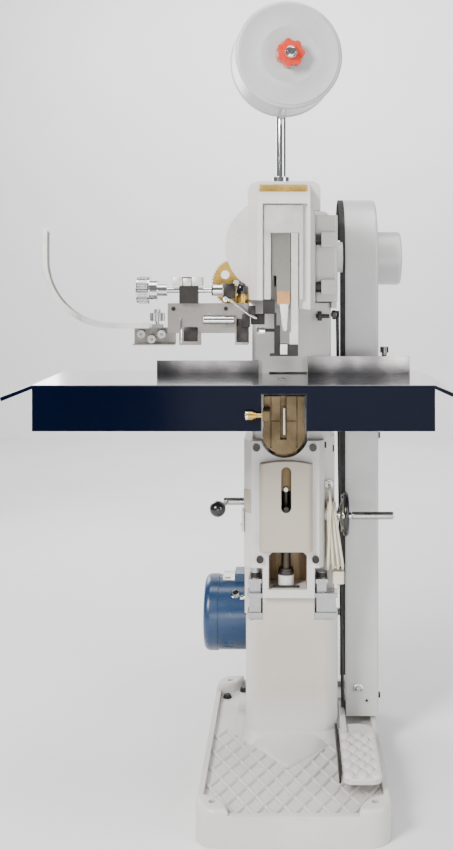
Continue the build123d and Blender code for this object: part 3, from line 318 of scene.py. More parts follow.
# Nodes whose look differs from the plain finish of their slot.
NODE_FINISH = {
    "ram_shoe": "shoe_bronze",
    # The pedestal's beige is painted reflection and shade.
    "pedestal_casting": "pedestal_painted_reflection",
    "foot_pedal": "frame_paint",
    "crank_grip": "bright_steel",
    "forming_block": "white_plastic_and_blade_highlight",
    # The driver blade's white is a painted highlight for bright chrome.
    "driver_blade": "white_plastic_and_blade_highlight",
    "roller_thumb_screw": "bright_steel",
    "adjusting_screw": "wheel_chrome",
    "clamp_blocks": "clamp_steel",
    "feed_plate": "plate_steel",
    "ram_block": "ram_steel",
    "ram_gib_plate": "satin_steel",
    "guide_bar": "satin_steel",
    "fences": "fence_steel",
    "pull_rod": "dark_steel",
    "straightener_block": "plate_steel",
    "reel_stand": "wheel_chrome",
    "jack_screw": "screw_steel",
    "wire_chute": "satin_steel",
    "clincher_post": "bright_steel",
}
for entry in frame["record"]["subparts"]:
    node = NODES[entry["node"]]
    finish = NODE_FINISH.get(entry["node"], entry["material_slot"])
    node.data.materials.clear()
    node.data.materials.append(MATERIALS[finish])


# ---------------------------------------------------------------- piece builders
def place(piece, body, slot, finish=None):
    """Links a piece, lets it ride on its body and gives it its finish."""
    if piece.name not in bpy.context.scene.collection.objects:
        bpy.context.scene.collection.objects.link(piece)
    piece.data.materials.clear()
    piece.data.materials.append(MATERIALS[finish or slot])
    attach(piece, body)
    return piece


def from_bmesh(name, mesh_edit, smooth_angle=35):
    """An object from a bmesh, smooth but for its hard edges."""
    bmesh.ops.recalc_face_normals(mesh_edit, faces=mesh_edit.faces)
    for face in mesh_edit.faces:
        face.smooth = True
    for edge in mesh_edit.edges:
        if len(edge.link_faces) == 2 and edge.calc_face_angle(0) > radians(smooth_angle):
            edge.smooth = False
    mesh = bpy.data.meshes.new(name)
    mesh_edit.to_mesh(mesh)
    mesh_edit.free()
    return bpy.data.objects.new(name, mesh)


def add_block(mesh_edit, low, high, bevel=0.001, turn=None):
    """A box with softened edges between two corners, turned about its centre if asked."""
    low = Vector(low)
    high = Vector(high)
    made = bmesh.ops.create_cube(mesh_edit, size=1.0)
    matrix = Matrix.Translation((low + high) / 2)
    if turn is not None:
        matrix = matrix @ turn.to_4x4()
    matrix = matrix @ Matrix.Diagonal((*(high - low), 1))
    bmesh.ops.transform(mesh_edit, matrix=matrix, verts=made["verts"])
    rims = list({edge for vert in made["verts"] for edge in vert.link_edges})
    bmesh.ops.bevel(mesh_edit, geom=rims, offset=bevel, segments=2, affect="EDGES", profile=0.5)


def axis_matrix(origin, direction):
    """A matrix that takes +Z to a direction and the origin to a point."""
    turn = Vector((0, 0, 1)).rotation_difference(Vector(direction)).to_matrix().to_4x4()
    return Matrix.Translation(origin) @ turn


def add_lathe(mesh_edit, profile, origin, direction, segments=48, ring_shaped=False):
    """A turned shape from (radius, distance along the axis) points; a ring's last point joins its first."""
    matrix = axis_matrix(origin, direction)
    rings = []
    for radius, along in profile:
        if radius < 1e-6:
            rings.append([mesh_edit.verts.new(matrix @ Vector((0, 0, along)))])
            continue
        ring = []
        for step in range(segments):
            angle = 2 * pi * step / segments
            point = Vector((radius * cos(angle), radius * sin(angle), along))
            ring.append(mesh_edit.verts.new(matrix @ point))
        rings.append(ring)
    if ring_shaped:
        rings.append(rings[0])
    for lower, upper in zip(rings, rings[1:]):
        for step in range(segments):
            after = (step + 1) % segments
            if len(lower) == 1:
                mesh_edit.faces.new((lower[0], upper[step], upper[after]))
            elif len(upper) == 1:
                mesh_edit.faces.new((lower[step], lower[after], upper[0]))
            else:
                mesh_edit.faces.new((lower[step], lower[after], upper[after], upper[step]))


def capped(radius, start, end, edge=0.0008):
    """The profile of a short turned piece with broken edges."""
    lower = [(0, start), (radius - edge, start), (radius, start + edge)]
    upper = [(radius, end - edge), (radius - edge, end), (0, end)]
    return lower + upper


def add_hex_bolt(mesh_edit, origin, direction, radius, height, washer=True):
    """A hexagon bolt head with a chamfered top and a washer, standing on a face."""
    if washer:
        add_lathe(mesh_edit, capped(radius * 1.25, 0, height * 0.18, 0.0003), origin, direction, 32)
    base = height * 0.18 if washer else 0
    add_lathe(
        mesh_edit,
        [(0, base), (radius, base), (radius, height * 0.85), (radius * 0.86, height), (0, height)],
        origin,
        direction,
        6,
    )


def add_cap_screw(mesh_edit, origin, direction, radius, height):
    """A socket head cap screw with a hollow in its top."""
    add_lathe(
        mesh_edit,
        [
            (0, 0),
            (radius, 0),
            (radius, height * 0.9),
            (radius * 0.9, height),
            (radius * 0.55, height),
            (radius * 0.5, height * 0.45),
            (0, height * 0.45),
        ],
        origin,
        direction,
        28,
    )


def corners(node):
    """The lowest and highest corners of a CAD node."""
    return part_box(node)


# ---------------------------------------------------------------- supply cable
CABLE_DIAMETER = 0.0064
cable_exit = (0.085, 0.048, 0.645)
cable_lead = [
    cable_exit,
    (0.085, 0.020, 0.645),
    (0.085, -0.0035, 0.630),
    (0.086, -0.015, 0.604),
]
coil_low, coil_high = corners("cable_coil")
coil_centre_y = (coil_low.y + coil_high.y) / 2
coil_half_width = (coil_high.y - coil_low.y) / 2
coil_straight = (coil_high.z - coil_low.z) / 2 - coil_half_width
coil_mid_z = (coil_low.z + coil_high.z) / 2
COIL_NECK_WIDTH = 0.027
COIL_FAN_START = 0.560
COIL_FAN_LENGTH = 0.090
coil_fan = (coil_high.x - coil_low.x) / COIL_NECK_WIDTH - 1


def coil_point(x, inset, angle):
    """A point on an upright oval turn that fans out below; the angle runs from the front, down and round."""
    radius = coil_half_width - inset
    y = coil_centre_y - radius * cos(angle)
    z = coil_mid_z - radius * sin(angle)
    z += -coil_straight if sin(angle) > 0 else coil_straight
    spread = min(1.0, max(0.0, (COIL_FAN_START - z) / COIL_FAN_LENGTH)) * coil_fan
    return (coil_low.x + (x - coil_low.x) * (1 + spread), y, z)


OUTER_INSET = 0.0036
INNER_INSET = 0.0108
COIL_LAYERS = [
    (coil_low.x + 0.0036, OUTER_INSET),
    (coil_low.x + 0.0104, OUTER_INSET),
    (coil_low.x + 0.0172, OUTER_INSET),
    (coil_low.x + 0.0234, OUTER_INSET),
    (coil_low.x + 0.0202, INNER_INSET),
    (coil_low.x + 0.0134, INNER_INSET),
    (coil_low.x + 0.0066, INNER_INSET),
]
STEPS = 16
coil_points = []
for turn, (turn_x, inset) in enumerate(COIL_LAYERS):
    next_x, next_inset = COIL_LAYERS[min(turn + 1, len(COIL_LAYERS) - 1)]
    for step in range(STEPS):
        share = max(0.0, (step - STEPS * 0.5) / (STEPS * 0.5))
        blend = share * share * (3 - 2 * share)
        x = turn_x + (next_x - turn_x) * blend
        offset_in = inset + (next_inset - inset) * blend
        coil_points.append(coil_point(x, offset_in, 2 * pi * (step + 0.5) / STEPS))
plug_low, plug_high = corners("supply_plug")
plug_top = ((plug_low.x + plug_high.x) / 2, coil_centre_y, plug_high.z)
cable_end = [
    (coil_low.x + 0.009, coil_centre_y - 0.020, 0.510),
    (plug_top[0] - 0.006, coil_centre_y - 0.010, 0.480),
    plug_top,
]
cable_curve = bpy.data.curves.new("supply_lead", "CURVE")
cable_curve.dimensions = "3D"
cable_curve.bevel_depth = CABLE_DIAMETER / 2
cable_curve.bevel_resolution = 4
cable_curve.resolution_u = 8
cable_curve.use_fill_caps = True
cable_line = cable_curve.splines.new("NURBS")
cable_route = cable_lead + coil_points + cable_end
cable_line.points.add(len(cable_route) - 1)
for point, position in zip(cable_line.points, cable_route):
    point.co = (*position, 1)
cable_line.order_u = 3
cable_line.use_endpoint_u = True
supply_lead = place(bpy.data.objects.new("supply_lead", cable_curve), "frame", "cable_cream")
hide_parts("supply_cable", "cable_coil")


# ---------------------------------------------------------------- tread ribs, foot web and pedal studs
base_low, base_high = corners("base_casting")
TREAD_TOP = 0.052
RIB_PITCH = 0.040
RIB_SLOPE = 1.88
RIB_WIDTH = 0.0105
RIB_HEIGHT = 0.0044
WEB_TIP = (-0.012, -0.122)
WEB_LEFT = (-0.118, 0.016)
WEB_RIGHT = (0.104, 0.016)
TREAD_HALF_WIDTH = 0.184
TREAD_FRONT = -0.319
TREAD_BACK_LEFT = 0.066
TREAD_BACK_RIGHT = 0.005
PAD_REACH = 0.073
WEB_MARGIN = 0.004


def ribs_allowed(x, y):
    """True where the tread is ribbed: inside the rim, off the pads, the web and the back."""
    back = TREAD_BACK_LEFT if x < 0 else TREAD_BACK_RIGHT
    if abs(x) > TREAD_HALF_WIDTH or y < TREAD_FRONT or y > back:
        return False
    if math.hypot(abs(x) - base_high.x, y - base_low.y) < PAD_REACH:
        return False
    for edge_x, edge_y in (WEB_LEFT, WEB_RIGHT):
        share = (y - WEB_TIP[1]) / (edge_y - WEB_TIP[1])
        if share > 0 and (x - WEB_TIP[0]) * (edge_x - WEB_TIP[0]) >= 0:
            if abs(x - WEB_TIP[0]) < abs(edge_x - WEB_TIP[0]) * share + WEB_MARGIN:
                return False
    return True


def add_rib(mesh_edit, start, end, height):
    """One low rib between two points on the tread, with sloping sides."""
    along = (Vector(end) - Vector(start)).normalized()
    across = Vector((-along.y, along.x, 0))
    verts = []
    for point in (start, end):
        for side, lift in ((-1.0, 0), (-0.45, height), (0.45, height), (1.0, 0)):
            where = Vector((point[0], point[1], TREAD_TOP + lift)) + across * side * RIB_WIDTH / 2
            verts.append(mesh_edit.verts.new(where))
    for first in range(3):
        mesh_edit.faces.new((verts[first], verts[first + 1], verts[first + 5], verts[first + 4]))
    mesh_edit.faces.new(verts[0:4])
    mesh_edit.faces.new(verts[4:8])
    mesh_edit.faces.new((verts[0], verts[3], verts[7], verts[4]))


ribs = bmesh.new()
SAMPLE = 0.002
SAMPLE_START = -0.320
SAMPLE_LENGTH = 0.39
RIB_ORIGIN_Y = -0.160
for slope, height in ((RIB_SLOPE, RIB_HEIGHT), (-RIB_SLOPE, RIB_HEIGHT * 0.7)):
    for index in range(-12, 13):
        run = []
        count = int(SAMPLE_LENGTH / SAMPLE)
        for sample in range(count + 1):
            y = SAMPLE_START + sample * SAMPLE
            x = index * RIB_PITCH + (y - RIB_ORIGIN_Y) / slope
            if ribs_allowed(x, y):
                run.append((x, y, 0))
            if run and (not ribs_allowed(x, y) or sample == count):
                if len(run) > 4:
                    add_rib(ribs, run[0], run[-1], height)
                run = []
place(from_bmesh("tread_ribs", ribs), "frame", "frame_paint")

web = bmesh.new()
WEB_STEPS = 14
WEB_COLUMNS = 12
web_rows = []
for step in range(WEB_STEPS + 1):
    share = step / WEB_STEPS
    left = Vector((*WEB_TIP, 0)).lerp(Vector((*WEB_LEFT, 0)), share)
    right = Vector((*WEB_TIP, 0)).lerp(Vector((*WEB_RIGHT, 0)), share)
    row = []
    for column in range(WEB_COLUMNS + 1):
        across = column / WEB_COLUMNS
        point = left.lerp(right, across)
        crown = sin(pi * across) ** 0.6 if 0 < across < 1 else 0.0
        rise = 0.003 + 0.034 * share ** 2.6
        point.z = TREAD_TOP + 0.0002 + rise * crown
        row.append(web.verts.new(point))
    web_rows.append(row)
for first, second in zip(web_rows, web_rows[1:]):
    for column in range(WEB_COLUMNS):
        web.faces.new((first[column], first[column + 1], second[column + 1], second[column]))
bmesh.ops.remove_doubles(web, verts=web.verts, dist=0.0003)
bmesh.ops.recalc_face_normals(web, faces=web.faces)
bmesh.ops.solidify(web, geom=web.faces, thickness=0.0012)
place(from_bmesh("foot_web", web, 60), "frame", "frame_paint")

pedal_low, pedal_high = corners("foot_pedal")
pedal_front = pedal_low.y
PEDAL_BACK = -0.020
studs = bmesh.new()
STUD_PITCH_X = 0.0290
STUD_PITCH_Y = 0.044
STUD_SHAPE = Matrix.Diagonal((0.0128, 0.0178, 0.0078, 1))
PEDAL_TOP = 0.096
rows = int((PEDAL_BACK - pedal_front - 0.02) / (STUD_PITCH_Y / 2))
for row in range(rows):
    y = pedal_front + 0.018 + row * STUD_PITCH_Y / 2
    shift = STUD_PITCH_X / 2 if row % 2 else 0
    column_x = pedal_low.x + 0.014 + shift
    while column_x < pedal_high.x - 0.011:
        matrix = Matrix.Translation((column_x, y, PEDAL_TOP - 0.0006)) @ STUD_SHAPE
        bmesh.ops.create_uvsphere(studs, u_segments=20, v_segments=12, radius=1.0, matrix=matrix)
        column_x += STUD_PITCH_X
place(from_bmesh("pedal_studs", studs), "pedal", "iron", "frame_paint")
# A dark strip along the pedal's left edge is painted shade for the gap there.
pedal_edge_shade = bmesh.new()
add_block(pedal_edge_shade, (0.0955, -0.240, 0.080), (0.1005, -0.006, 0.102), 0.0015)
add_block(pedal_edge_shade, (0.0990, -0.060, 0.084), (0.1030, -0.020, 0.094), 0.0008)
place(from_bmesh("pedal_edge_shade_strip", pedal_edge_shade), "pedal", "iron", "dark_steel")


# ---------------------------------------------------------------- reel
reel_record = next(joint for joint in frame["joints"] if joint["name"] == "reel_spin")
REEL_AXIS = Vector(reel_record["axis"]).normalized()
REEL_CENTRE = Vector(reel_record["pos_m"])
REEL_FACE = 0.138
rim = bmesh.new()
add_lathe(
    rim,
    [
        (0.030, REEL_FACE + 0.0004),
        (0.058, REEL_FACE + 0.0004),
        (0.060, REEL_FACE + 0.0016),
        (0.063, REEL_FACE + 0.0016),
        (0.065, REEL_FACE + 0.0004),
        (0.104, REEL_FACE + 0.0004),
        (0.106, REEL_FACE + 0.0014),
        (0.109, REEL_FACE + 0.0014),
        (0.1095, REEL_FACE - 0.001),
        (0.030, REEL_FACE - 0.001),
    ],
    REEL_CENTRE,
    REEL_AXIS,
    96,
    True,
)
place(from_bmesh("reel_face_rings", rim, 50), "reel", "reel_paint")
spindle = bmesh.new()
add_lathe(spindle, capped(0.0125, 0.164, 0.1665), REEL_CENTRE, REEL_AXIS, 40)
add_hex_bolt(spindle, REEL_CENTRE + REEL_AXIS * 0.1665, REEL_AXIS, 0.0098, 0.008, False)
place(from_bmesh("reel_spindle_nut", spindle), "reel_knob", "bright_steel", "wheel_chrome")


# ---------------------------------------------------------------- handwheel
wheel_low, wheel_high = corners("handwheel")
crank_joint = next(joint for joint in frame["joints"] if joint["name"] == "handwheel_turn")
grip_joint = next(joint for joint in frame["joints"] if joint["name"] == "grip_spin")
wheel_centre = Vector(crank_joint["pos_m"])
grip_centre = Vector(grip_joint["pos_m"])
WHEEL_RADIUS = (wheel_high.z - wheel_low.z) / 2
wheel = bmesh.new()
start = Vector((0, wheel_centre.y, wheel_centre.z))
RIM_X = 0.1226
RIM_SECTION = 0.0068
rim_profile = []
for step in range(17):
    angle = 2 * pi * step / 16
    radius = WHEEL_RADIUS - RIM_SECTION - 0.0003 + RIM_SECTION * cos(angle)
    rim_profile.append((radius, RIM_X + RIM_SECTION * sin(angle)))
add_lathe(wheel, rim_profile, start, (1, 0, 0), 72)
bmesh.ops.remove_doubles(wheel, verts=wheel.verts, dist=0.00001)
place(from_bmesh("handwheel_rim", wheel), "wheel", "wheel_chrome", "black_plastic")
hub = bmesh.new()
boss_profile = [(0, 0.1035), (0.015, 0.1035), (0.016, 0.1045), (0.016, 0.124), (0.013, 0.130), (0, 0.131)]
add_lathe(hub, boss_profile, start, (1, 0, 0))
add_lathe(hub, capped(0.009, wheel_low.x + 0.009, 0.104), start, (1, 0, 0), 32)
dish_front = [(0.015, 0.1080), (0.030, 0.1120), (0.0405, 0.1195)]
dish_back = [(0.0400, 0.1215), (0.029, 0.1145), (0.015, 0.1110)]
add_lathe(hub, dish_front + dish_back, start, (1, 0, 0), 64, True)
FIRST_SPOKE = 171
for spoke in range(3):
    angle = radians(FIRST_SPOKE + 120 * spoke)
    direction = Vector((0, cos(angle), sin(angle)))
    middle = start + Vector((RIM_X - 0.006, 0, 0)) + direction * 0.029
    turn = Matrix.Rotation(angle, 3, "X")
    half = Vector((0.0045, 0.0185, 0.0062))
    add_block(hub, middle - half, middle + half, 0.002, turn)
grip_line = Vector((0, grip_centre.y, grip_centre.z))
add_lathe(hub, capped(0.0088, 0.115, 0.1335), grip_line, (1, 0, 0), 32)
add_lathe(hub, capped(0.004, 0.130, 0.2255), grip_line, (1, 0, 0), 24)
wheel_hub = place(from_bmesh("handwheel_spider", hub), "wheel", "wheel_chrome")
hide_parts("handwheel")


# ---------------------------------------------------------------- clamp lever ball and tension knob
ball = bmesh.new()
BALL_RADIUS = 0.0185
ball_place = Matrix.Translation((-0.175, -0.030, 0.606))
bmesh.ops.create_uvsphere(ball, u_segments=48, v_segments=32, radius=BALL_RADIUS, matrix=ball_place)
place(from_bmesh("lever_ball", ball), "lever", "black_plastic")

screw_low, screw_high = corners("adjusting_screw")
screw_y = (screw_low.y + screw_high.y) / 2
screw_z = (screw_low.z + screw_high.z) / 2
knurl = bmesh.new()
KNURL_TEETH = 36
KNURL_RADIUS = 0.0285
for tooth in range(KNURL_TEETH):
    angle = 2 * pi * tooth / KNURL_TEETH
    centre = Vector((0, screw_y + KNURL_RADIUS * cos(angle), screw_z + KNURL_RADIUS * sin(angle)))
    add_lathe(knurl, capped(0.0016, screw_low.x + 0.003, screw_low.x + 0.025, 0.0006), centre, (1, 0, 0), 8)
knob_face = [(0, -0.0004), (0.010, -0.0004), (0.012, 0.0005), (0.024, 0.0005), (0.024, 0.002), (0, 0.002)]
add_lathe(knurl, knob_face, (screw_low.x, screw_y, screw_z), (1, 0, 0))
place(from_bmesh("tension_knob_knurl", knurl), "tension_screw", "bright_steel", "wheel_chrome")


# ---------------------------------------------------------------- small fasteners and fittings on the frame
bolts = bmesh.new()
guard_low, guard_high = corners("belt_guard")
for y, z in ((0.130, 0.110), (0.295, 0.110), (0.130, 0.75), (0.33, 0.75)):
    add_hex_bolt(bolts, (guard_high.x, y, z), (1, 0, 0), 0.008, 0.006)
add_hex_bolt(bolts, (-0.171, 0.250, TREAD_TOP), (0, 0, 1), 0.009, 0.009)
add_hex_bolt(bolts, (-0.128, 0.262, TREAD_TOP + 0.012), (0, 0, 1), 0.010, 0.011)
add_hex_bolt(bolts, (0.178, guard_low.y, 0.108), (0, -1, 0), 0.0025, 0.003)
for x in (-0.09025, 0.06575):
    add_lathe(bolts, capped(0.0124, 0.4346, 0.4475), (x, 0.020, 0), (0, 0, 1), 32)
hub_low, hub_high = corners("hub_cover")
hub_centre = (hub_low + hub_high) / 2
HUB_SCREW_RADIUS = 0.05
for step in range(4):
    angle = radians(45 + 90 * step)
    y = hub_centre.y + HUB_SCREW_RADIUS * cos(angle)
    where = (hub_high.x - 0.0005, y, hub_centre.z + HUB_SCREW_RADIUS * sin(angle))
    add_cap_screw(bolts, where, (1, 0, 0), 0.005, 0.0005)
place(from_bmesh("machine_bolts", bolts), "frame", "dark_steel")

strip_low, strip_high = corners("brass_strip")
rivets = bmesh.new()
STRIP_TILT = radians(35.9)
STRIP_NORMAL = Vector((0, -sin(STRIP_TILT), cos(STRIP_TILT)))
strip_centre = (strip_low + strip_high) / 2
rivet_profile = [(0, 0), (0.0030, 0), (0.0026, 0.0010), (0.0012, 0.0016), (0, 0.0017)]
for side in (-1, 1):
    where = strip_centre + Vector((side * 0.048, 0, 0)) + STRIP_NORMAL * 0.0008
    add_lathe(rivets, rivet_profile, where, STRIP_NORMAL, 20)
place(from_bmesh("strip_rivets", rivets), "frame", "brass")


# ---------------------------------------------------------------- guard gap shade strip, column fittings and arch
shaft_joint = next(joint for joint in frame["joints"] if joint["name"] == "main_shaft_spin")
shaft_centre = Vector(shaft_joint["pos_m"])
GUARD_RADIUS = 0.150
# A dark strip along the guard's back edge and over its rounded top is painted shade for the gap between guard and
# column.
GAP_SHADE_THICKNESS = 0.004
GAP_SHADE_X = (0.1130, 0.1258)
gap_shade_path = [(guard_low.y, 0.170), (guard_low.y, 0.60), (guard_low.y, shaft_centre.z)]
for step in range(1, 33):
    angle = radians(180 - 5 * step)
    gap_shade_path.append((shaft_centre.y + GUARD_RADIUS * cos(angle), shaft_centre.z + GUARD_RADIUS * sin(angle)))
gap_shade = bmesh.new()
gap_shade_rows = []
for y, z in gap_shade_path:
    inward = Vector((0, shaft_centre.y - y, min(0.0, shaft_centre.z - z))).normalized() * GAP_SHADE_THICKNESS
    outer = Vector((0, y, z))
    row = []
    for x, depth in ((GAP_SHADE_X[0], 0), (GAP_SHADE_X[1], 0), (GAP_SHADE_X[1], 1), (GAP_SHADE_X[0], 1)):
        row.append(gap_shade.verts.new(outer + inward * depth + Vector((x, 0, 0))))
    gap_shade_rows.append(row)
for first, second in zip(gap_shade_rows, gap_shade_rows[1:]):
    for side in range(4):
        after = (side + 1) % 4
        gap_shade.faces.new((first[side], first[after], second[after], second[side]))
gap_shade.faces.new(gap_shade_rows[0])
gap_shade.faces.new(gap_shade_rows[-1])
place(from_bmesh("guard_gap_shade_strip", gap_shade), "frame", "belt_rubber")

fittings = bmesh.new()
add_block(fittings, (0.0735, 0.0565, 0.731), (0.0785, 0.0588, 0.746), 0.0008)
add_block(fittings, (0.0935, 0.0580, 0.722), (0.0970, 0.0612, 0.738), 0.0008)
add_block(fittings, (0.052, 0.004, 1.044), (0.084, 0.0155, 1.053), 0.0012)
add_block(fittings, (0.056, 0.001, 1.038), (0.066, 0.010, 1.060), 0.0012)
add_lathe(fittings, capped(0.0062, 0, 0.010), (-0.017, -0.020, 0.6045), (0, -1, 0), 28)
place(from_bmesh("column_fittings", fittings), "frame", "dark_steel")
boss = bmesh.new()
boss_turn = Matrix.Rotation(radians(-49.4), 3, "Z")
add_block(boss, (-0.1205, -0.0065, 0.592), (-0.0945, -0.0035, 0.646), 0.0012, boss_turn)
place(from_bmesh("lever_boss", boss), "frame", "frame_paint", "cover_paint")
lever_bracket = bmesh.new()
add_block(lever_bracket, (-0.1212, -0.002, 0.545), (-0.1160, 0.020, 0.597), 0.0012)
add_cap_screw(lever_bracket, (-0.1212, 0.009, 0.560), (-1, 0, 0), 0.004, 0.003)
place(from_bmesh("lever_bracket", lever_bracket), "frame", "frame_paint")
knee_bolt = bmesh.new()
add_lathe(knee_bolt, capped(0.0060, 0, 0.009), (-0.018, 0.0022, 0.645), (0, -1, 0), 28)
place(from_bmesh("knee_clamp_bolt", knee_bolt), "knee", "bright_steel")

# A thin dark brown skin on the channel's back and side faces, with a lighter brown panel in the middle of the
# back.
liner = bmesh.new()
add_block(liner, (-0.0578, 0.0585, 0.4155), (0.0308, 0.0598, 0.520), 0.0003)
add_block(liner, (-0.0579, -0.0025, 0.4155), (-0.0567, 0.0590, 0.515), 0.0003)
add_block(liner, (0.0297, -0.0025, 0.4155), (0.0309, 0.0590, 0.515), 0.0003)
place(from_bmesh("arch_liner", liner), "frame", "frame_paint", "arch_brown")
panel = bmesh.new()
add_block(panel, (-0.043, 0.0572, 0.4155), (0.014, 0.0584, 0.518), 0.0004)
place(from_bmesh("arch_back_panel", panel), "frame", "frame_paint", "arch_panel")
collar = bmesh.new()
collar_profile = [(0.0171, 0.4425), (0.0182, 0.4430), (0.0182, 0.4500), (0.0171, 0.4505)]
add_lathe(collar, collar_profile, (-0.018, 0.022, 0), (0, 0, 1), 48, True)
place(from_bmesh("height_screw_collar", collar), "height_screw", "bright_steel", "black_plastic")
foot_bar = bmesh.new()
add_block(foot_bar, (-0.050, -0.002, 0.4152), (0.014, 0.0030, 0.4200), 0.0006)
place(from_bmesh("arch_foot_bar", foot_bar), "frame", "dark_steel")


# ---------------------------------------------------------------- wire feed details
def add_tube(mesh_edit, points, radius, sides=14):
    """A round bar that follows points, with flat ends."""
    points = [Vector(point) for point in points]
    rings = []
    for index, point in enumerate(points):
        ahead = points[min(index + 1, len(points) - 1)] - points[max(index - 1, 0)]
        across = ahead.cross(Vector((0, 1, 0))).normalized()
        depth = ahead.cross(across).normalized()
        ring = []
        for side in range(sides):
            angle = 2 * pi * side / sides
            ring.append(mesh_edit.verts.new(point + (across * cos(angle) + depth * sin(angle)) * radius))
        rings.append(ring)
    for lower, upper in zip(rings, rings[1:]):
        for side in range(sides):
            after = (side + 1) % sides
            mesh_edit.faces.new((lower[side], lower[after], upper[after], upper[side]))
    mesh_edit.faces.new(rings[0])
    mesh_edit.faces.new(rings[-1])


feed_bright = bmesh.new()
add_lathe(feed_bright, capped(0.0093, -0.199, -0.1305), (0, -0.131, 1.046), (1, 0, 0), 40)
FINGER_STEPS = 18
finger_points = []
for step in range(FINGER_STEPS + 1):
    share = step / FINGER_STEPS
    drop = 0.5 - 0.5 * cos(pi * share)
    finger_points.append((-0.150 + 0.069 * share, -0.1395, 1.094 - 0.020 * share - 0.024 * drop))
add_tube(feed_bright, finger_points, 0.0028)
add_lathe(feed_bright, capped(0.0060, 0, 0.0215), (-0.150, -0.1195, 1.092), (0, -1, 0), 28)
add_block(feed_bright, (-0.0815, -0.1385, 1.0165), (-0.0625, -0.1290, 1.0305), 0.0010)
add_block(feed_bright, (-0.2500, -0.1285, 0.995), (-0.2465, -0.1258, 1.050), 0.0005)
place(from_bmesh("feed_bright_parts", feed_bright), "frame", "bright_steel", "wheel_chrome")
feed_dark = bmesh.new()
add_block(feed_dark, (-0.1265, -0.1275, 0.997), (-0.1000, -0.1215, 1.048), 0.0012)
add_block(feed_dark, (-0.1140, -0.1305, 1.030), (-0.0960, -0.1262, 1.060), 0.0012)
add_block(feed_dark, (-0.1000, -0.1330, 1.052), (-0.0840, -0.1262, 1.078), 0.0012)
add_block(feed_dark, (-0.2430, -0.1278, 0.999), (-0.2120, -0.1258, 1.030), 0.0008)
add_block(feed_dark, (-0.0700, -0.1280, 1.0200), (-0.0425, -0.1225, 1.0275), 0.0010)
add_block(feed_dark, (-0.0950, -0.1230, 1.036), (-0.0640, -0.1180, 1.060), 0.0010)
add_cap_screw(feed_dark, (-0.266, -0.1218, 1.071), (0, -1, 0), 0.0045, 0.004)
add_cap_screw(feed_dark, (-0.150, -0.1218, 1.071), (0, -1, 0), 0.0045, 0.004)
place(from_bmesh("feed_dark_blocks", feed_dark), "frame", "dark_steel")
caps = bmesh.new()
add_block(caps, (-0.2665, -0.1346, 1.1215), (-0.2445, -0.1114, 1.1414), 0.0012)
add_block(caps, (-0.2435, -0.1346, 1.1215), (-0.2255, -0.1114, 1.1385), 0.0012)
add_block(caps, (-0.2245, -0.1346, 1.1215), (-0.2005, -0.1114, 1.1414), 0.0012)
place(from_bmesh("screw_block_caps", caps), "frame", "dark_steel", "satin_steel")
end_block = bmesh.new()
add_lathe(end_block, capped(0.0122, 0, 0.0025), (-0.1785, -0.123, 1.112), (-1, 0, 0), 32)
add_block(end_block, (-0.1550, -0.1360, 1.094), (-0.1300, -0.1180, 1.127), 0.0015)
place(from_bmesh("screw_end_block", end_block), "frame", "dark_steel")
dome = bmesh.new()
dome_base = [(0, 1.103), (0.0098, 1.103), (0.0118, 1.104), (0.0122, 1.109)]
dome_crown = [(0.0114, 1.118), (0.0080, 1.1255), (0.0035, 1.1285), (0, 1.129)]
add_lathe(dome, dome_base + dome_crown, (-0.116, -0.100, 0), (0, 0, 1))
place(from_bmesh("oil_cup_dome", dome), "frame", "black_plastic")


# ---------------------------------------------------------------- clincher, motor and head details
slide_strip = bmesh.new()
add_block(slide_strip, (-0.0228, -0.1842, 0.802), (-0.0180, -0.1705, 0.860), 0.0006)
place(from_bmesh("clincher_slide_strip", slide_strip), "knee", "bright_steel", "satin_steel")
screw_cap = bmesh.new()
add_lathe(screw_cap, capped(0.0099, -0.1015, -0.0945, 0.0015), (0, -0.243, 0.852), (1, 0, 0), 32)
place(from_bmesh("clincher_screw_cap", screw_cap), "clincher_screw", "brass", "wheel_chrome")
motor_fittings = bmesh.new()
add_hex_bolt(motor_fittings, (0.158, guard_low.y, 0.140), (0, -1, 0), 0.0062, 0.008)
add_block(motor_fittings, (0.146, guard_low.y - 0.0030, 0.132), (0.170, guard_low.y - 0.0002, 0.148), 0.0008)
add_block(motor_fittings, (-0.181, 0.212, 0.3640), (-0.128, 0.268, 0.3745), 0.0015)
add_hex_bolt(motor_fittings, (-0.146, 0.1755, 0.3425), (0, -0.7, 0.7), 0.0088, 0.010)
add_block(motor_fittings, (-0.134, 0.160, 0.334), (-0.112, 0.176, 0.343), 0.0012)
place(from_bmesh("motor_fittings", motor_fittings), "frame", "bright_steel", "wheel_chrome")
GRILLE_WIDTH = 0.004
GRILLE_DEPTH = 0.0012
grille = bmesh.new()
fan_low, fan_high = corners("motor_fan_cover")
fan_centre = (fan_low + fan_high) / 2
for ring_radius in (0.030, 0.045, 0.060):
    outer_radius = ring_radius + GRILLE_WIDTH
    section = [(ring_radius, 0.0), (outer_radius, 0.0)]
    section += [(outer_radius, -GRILLE_DEPTH), (ring_radius, -GRILLE_DEPTH)]
    add_lathe(grille, section, (fan_low.x + 0.0004, fan_centre.y, fan_centre.z), (1, 0, 0), 64, True)
place(from_bmesh("fan_grille_rings", grille), "frame", "motor_paint")


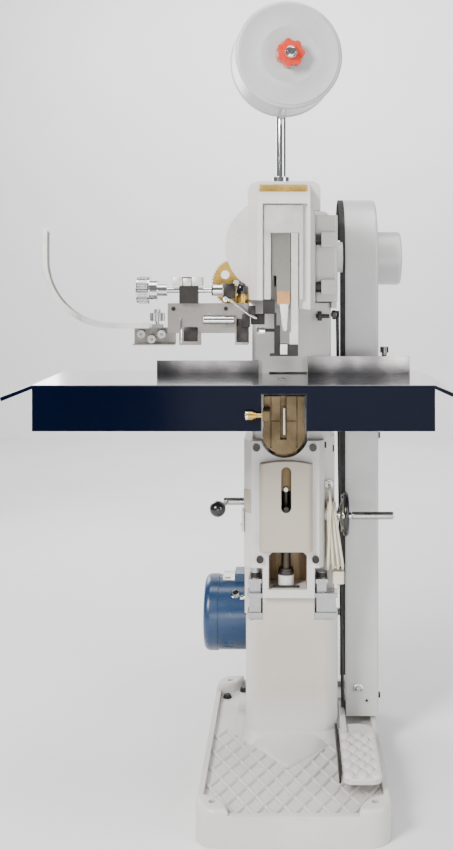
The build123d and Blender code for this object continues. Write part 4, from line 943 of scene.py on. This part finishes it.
# ---------------------------------------------------------------- stage and light
floor_mesh = bpy.data.meshes.new("floor")
FLOOR_Z = -0.0005
floor_corners = [(-6, -6, FLOOR_Z), (6, -6, FLOOR_Z), (6, 8, FLOOR_Z), (-6, 8, FLOOR_Z)]
floor_mesh.from_pydata(floor_corners, [], [(0, 1, 2, 3)])
floor = bpy.data.objects.new("floor", floor_mesh)
bpy.context.scene.collection.objects.link(floor)
floor_material, floor_tree, floor_shader = new_material("floor")
floor_colour = ramp(floor_tree, noise(floor_tree, 3.0, 3), [(0.3, grey(0.80)), (0.7, grey(0.83))])
floor_tree.links.new(floor_colour, floor_shader.inputs["Base Color"])
floor_shader.inputs["Roughness"].default_value = 0.9
floor_mesh.materials.append(floor_material)
wall_mesh = bpy.data.meshes.new("back_wall")
WALL_Y = 4.5
WALL_TOP = 7
wall_corners = [(-9, WALL_Y, FLOOR_Z), (9, WALL_Y, FLOOR_Z), (9, WALL_Y, WALL_TOP), (-9, WALL_Y, WALL_TOP)]
wall_mesh.from_pydata(wall_corners, [], [(0, 1, 2, 3)])
back_wall = bpy.data.objects.new("back_wall", wall_mesh)
bpy.context.scene.collection.objects.link(back_wall)
wall_mesh.materials.append(floor_material)

world = bpy.data.worlds.new("world")
world.use_nodes = True
world.node_tree.nodes["Background"].inputs["Color"].default_value = (0.92, 0.94, 0.97, 1)
world.node_tree.nodes["Background"].inputs["Strength"].default_value = 0.24
bpy.context.scene.world = world


def area_light(name, position, target, size, power, colour=(1, 1, 1)):
    """A soft rectangular lamp at a position, turned towards its target."""
    data = bpy.data.lights.new(name, "AREA")
    data.shape = "RECTANGLE"
    data.size = size[0]
    data.size_y = size[1]
    data.energy = power
    data.color = colour
    lamp = bpy.data.objects.new(name, data)
    lamp.location = position
    lamp.rotation_euler = (Vector(target) - Vector(position)).to_track_quat("-Z", "Y").to_euler()
    bpy.context.scene.collection.objects.link(lamp)


area_light("key", (-1.9, -2.2, 2.5), (0, 0, 1.0), (1.0, 1.3), 180, (1.0, 0.99, 0.97))
area_light("fill", (2.3, -1.9, 1.5), (0, 0, 0.8), (1.2, 2.2), 52, (0.97, 0.98, 1.0))
area_light("top", (0.1, -0.2, 3.3), (0, 0, 0.9), (2.0, 1.6), 60)
area_light("front_low", (0.2, -3.0, 0.6), (0, 0, 0.25), (1.6, 0.8), 24)
area_light("rim", (-1.4, 2.0, 2.0), (0, 0, 1.2), (1.0, 1.8), 40)
area_light("wall", (0, 2.6, 3.2), (0, 4.5, 1.2), (4.0, 1.0), 150)
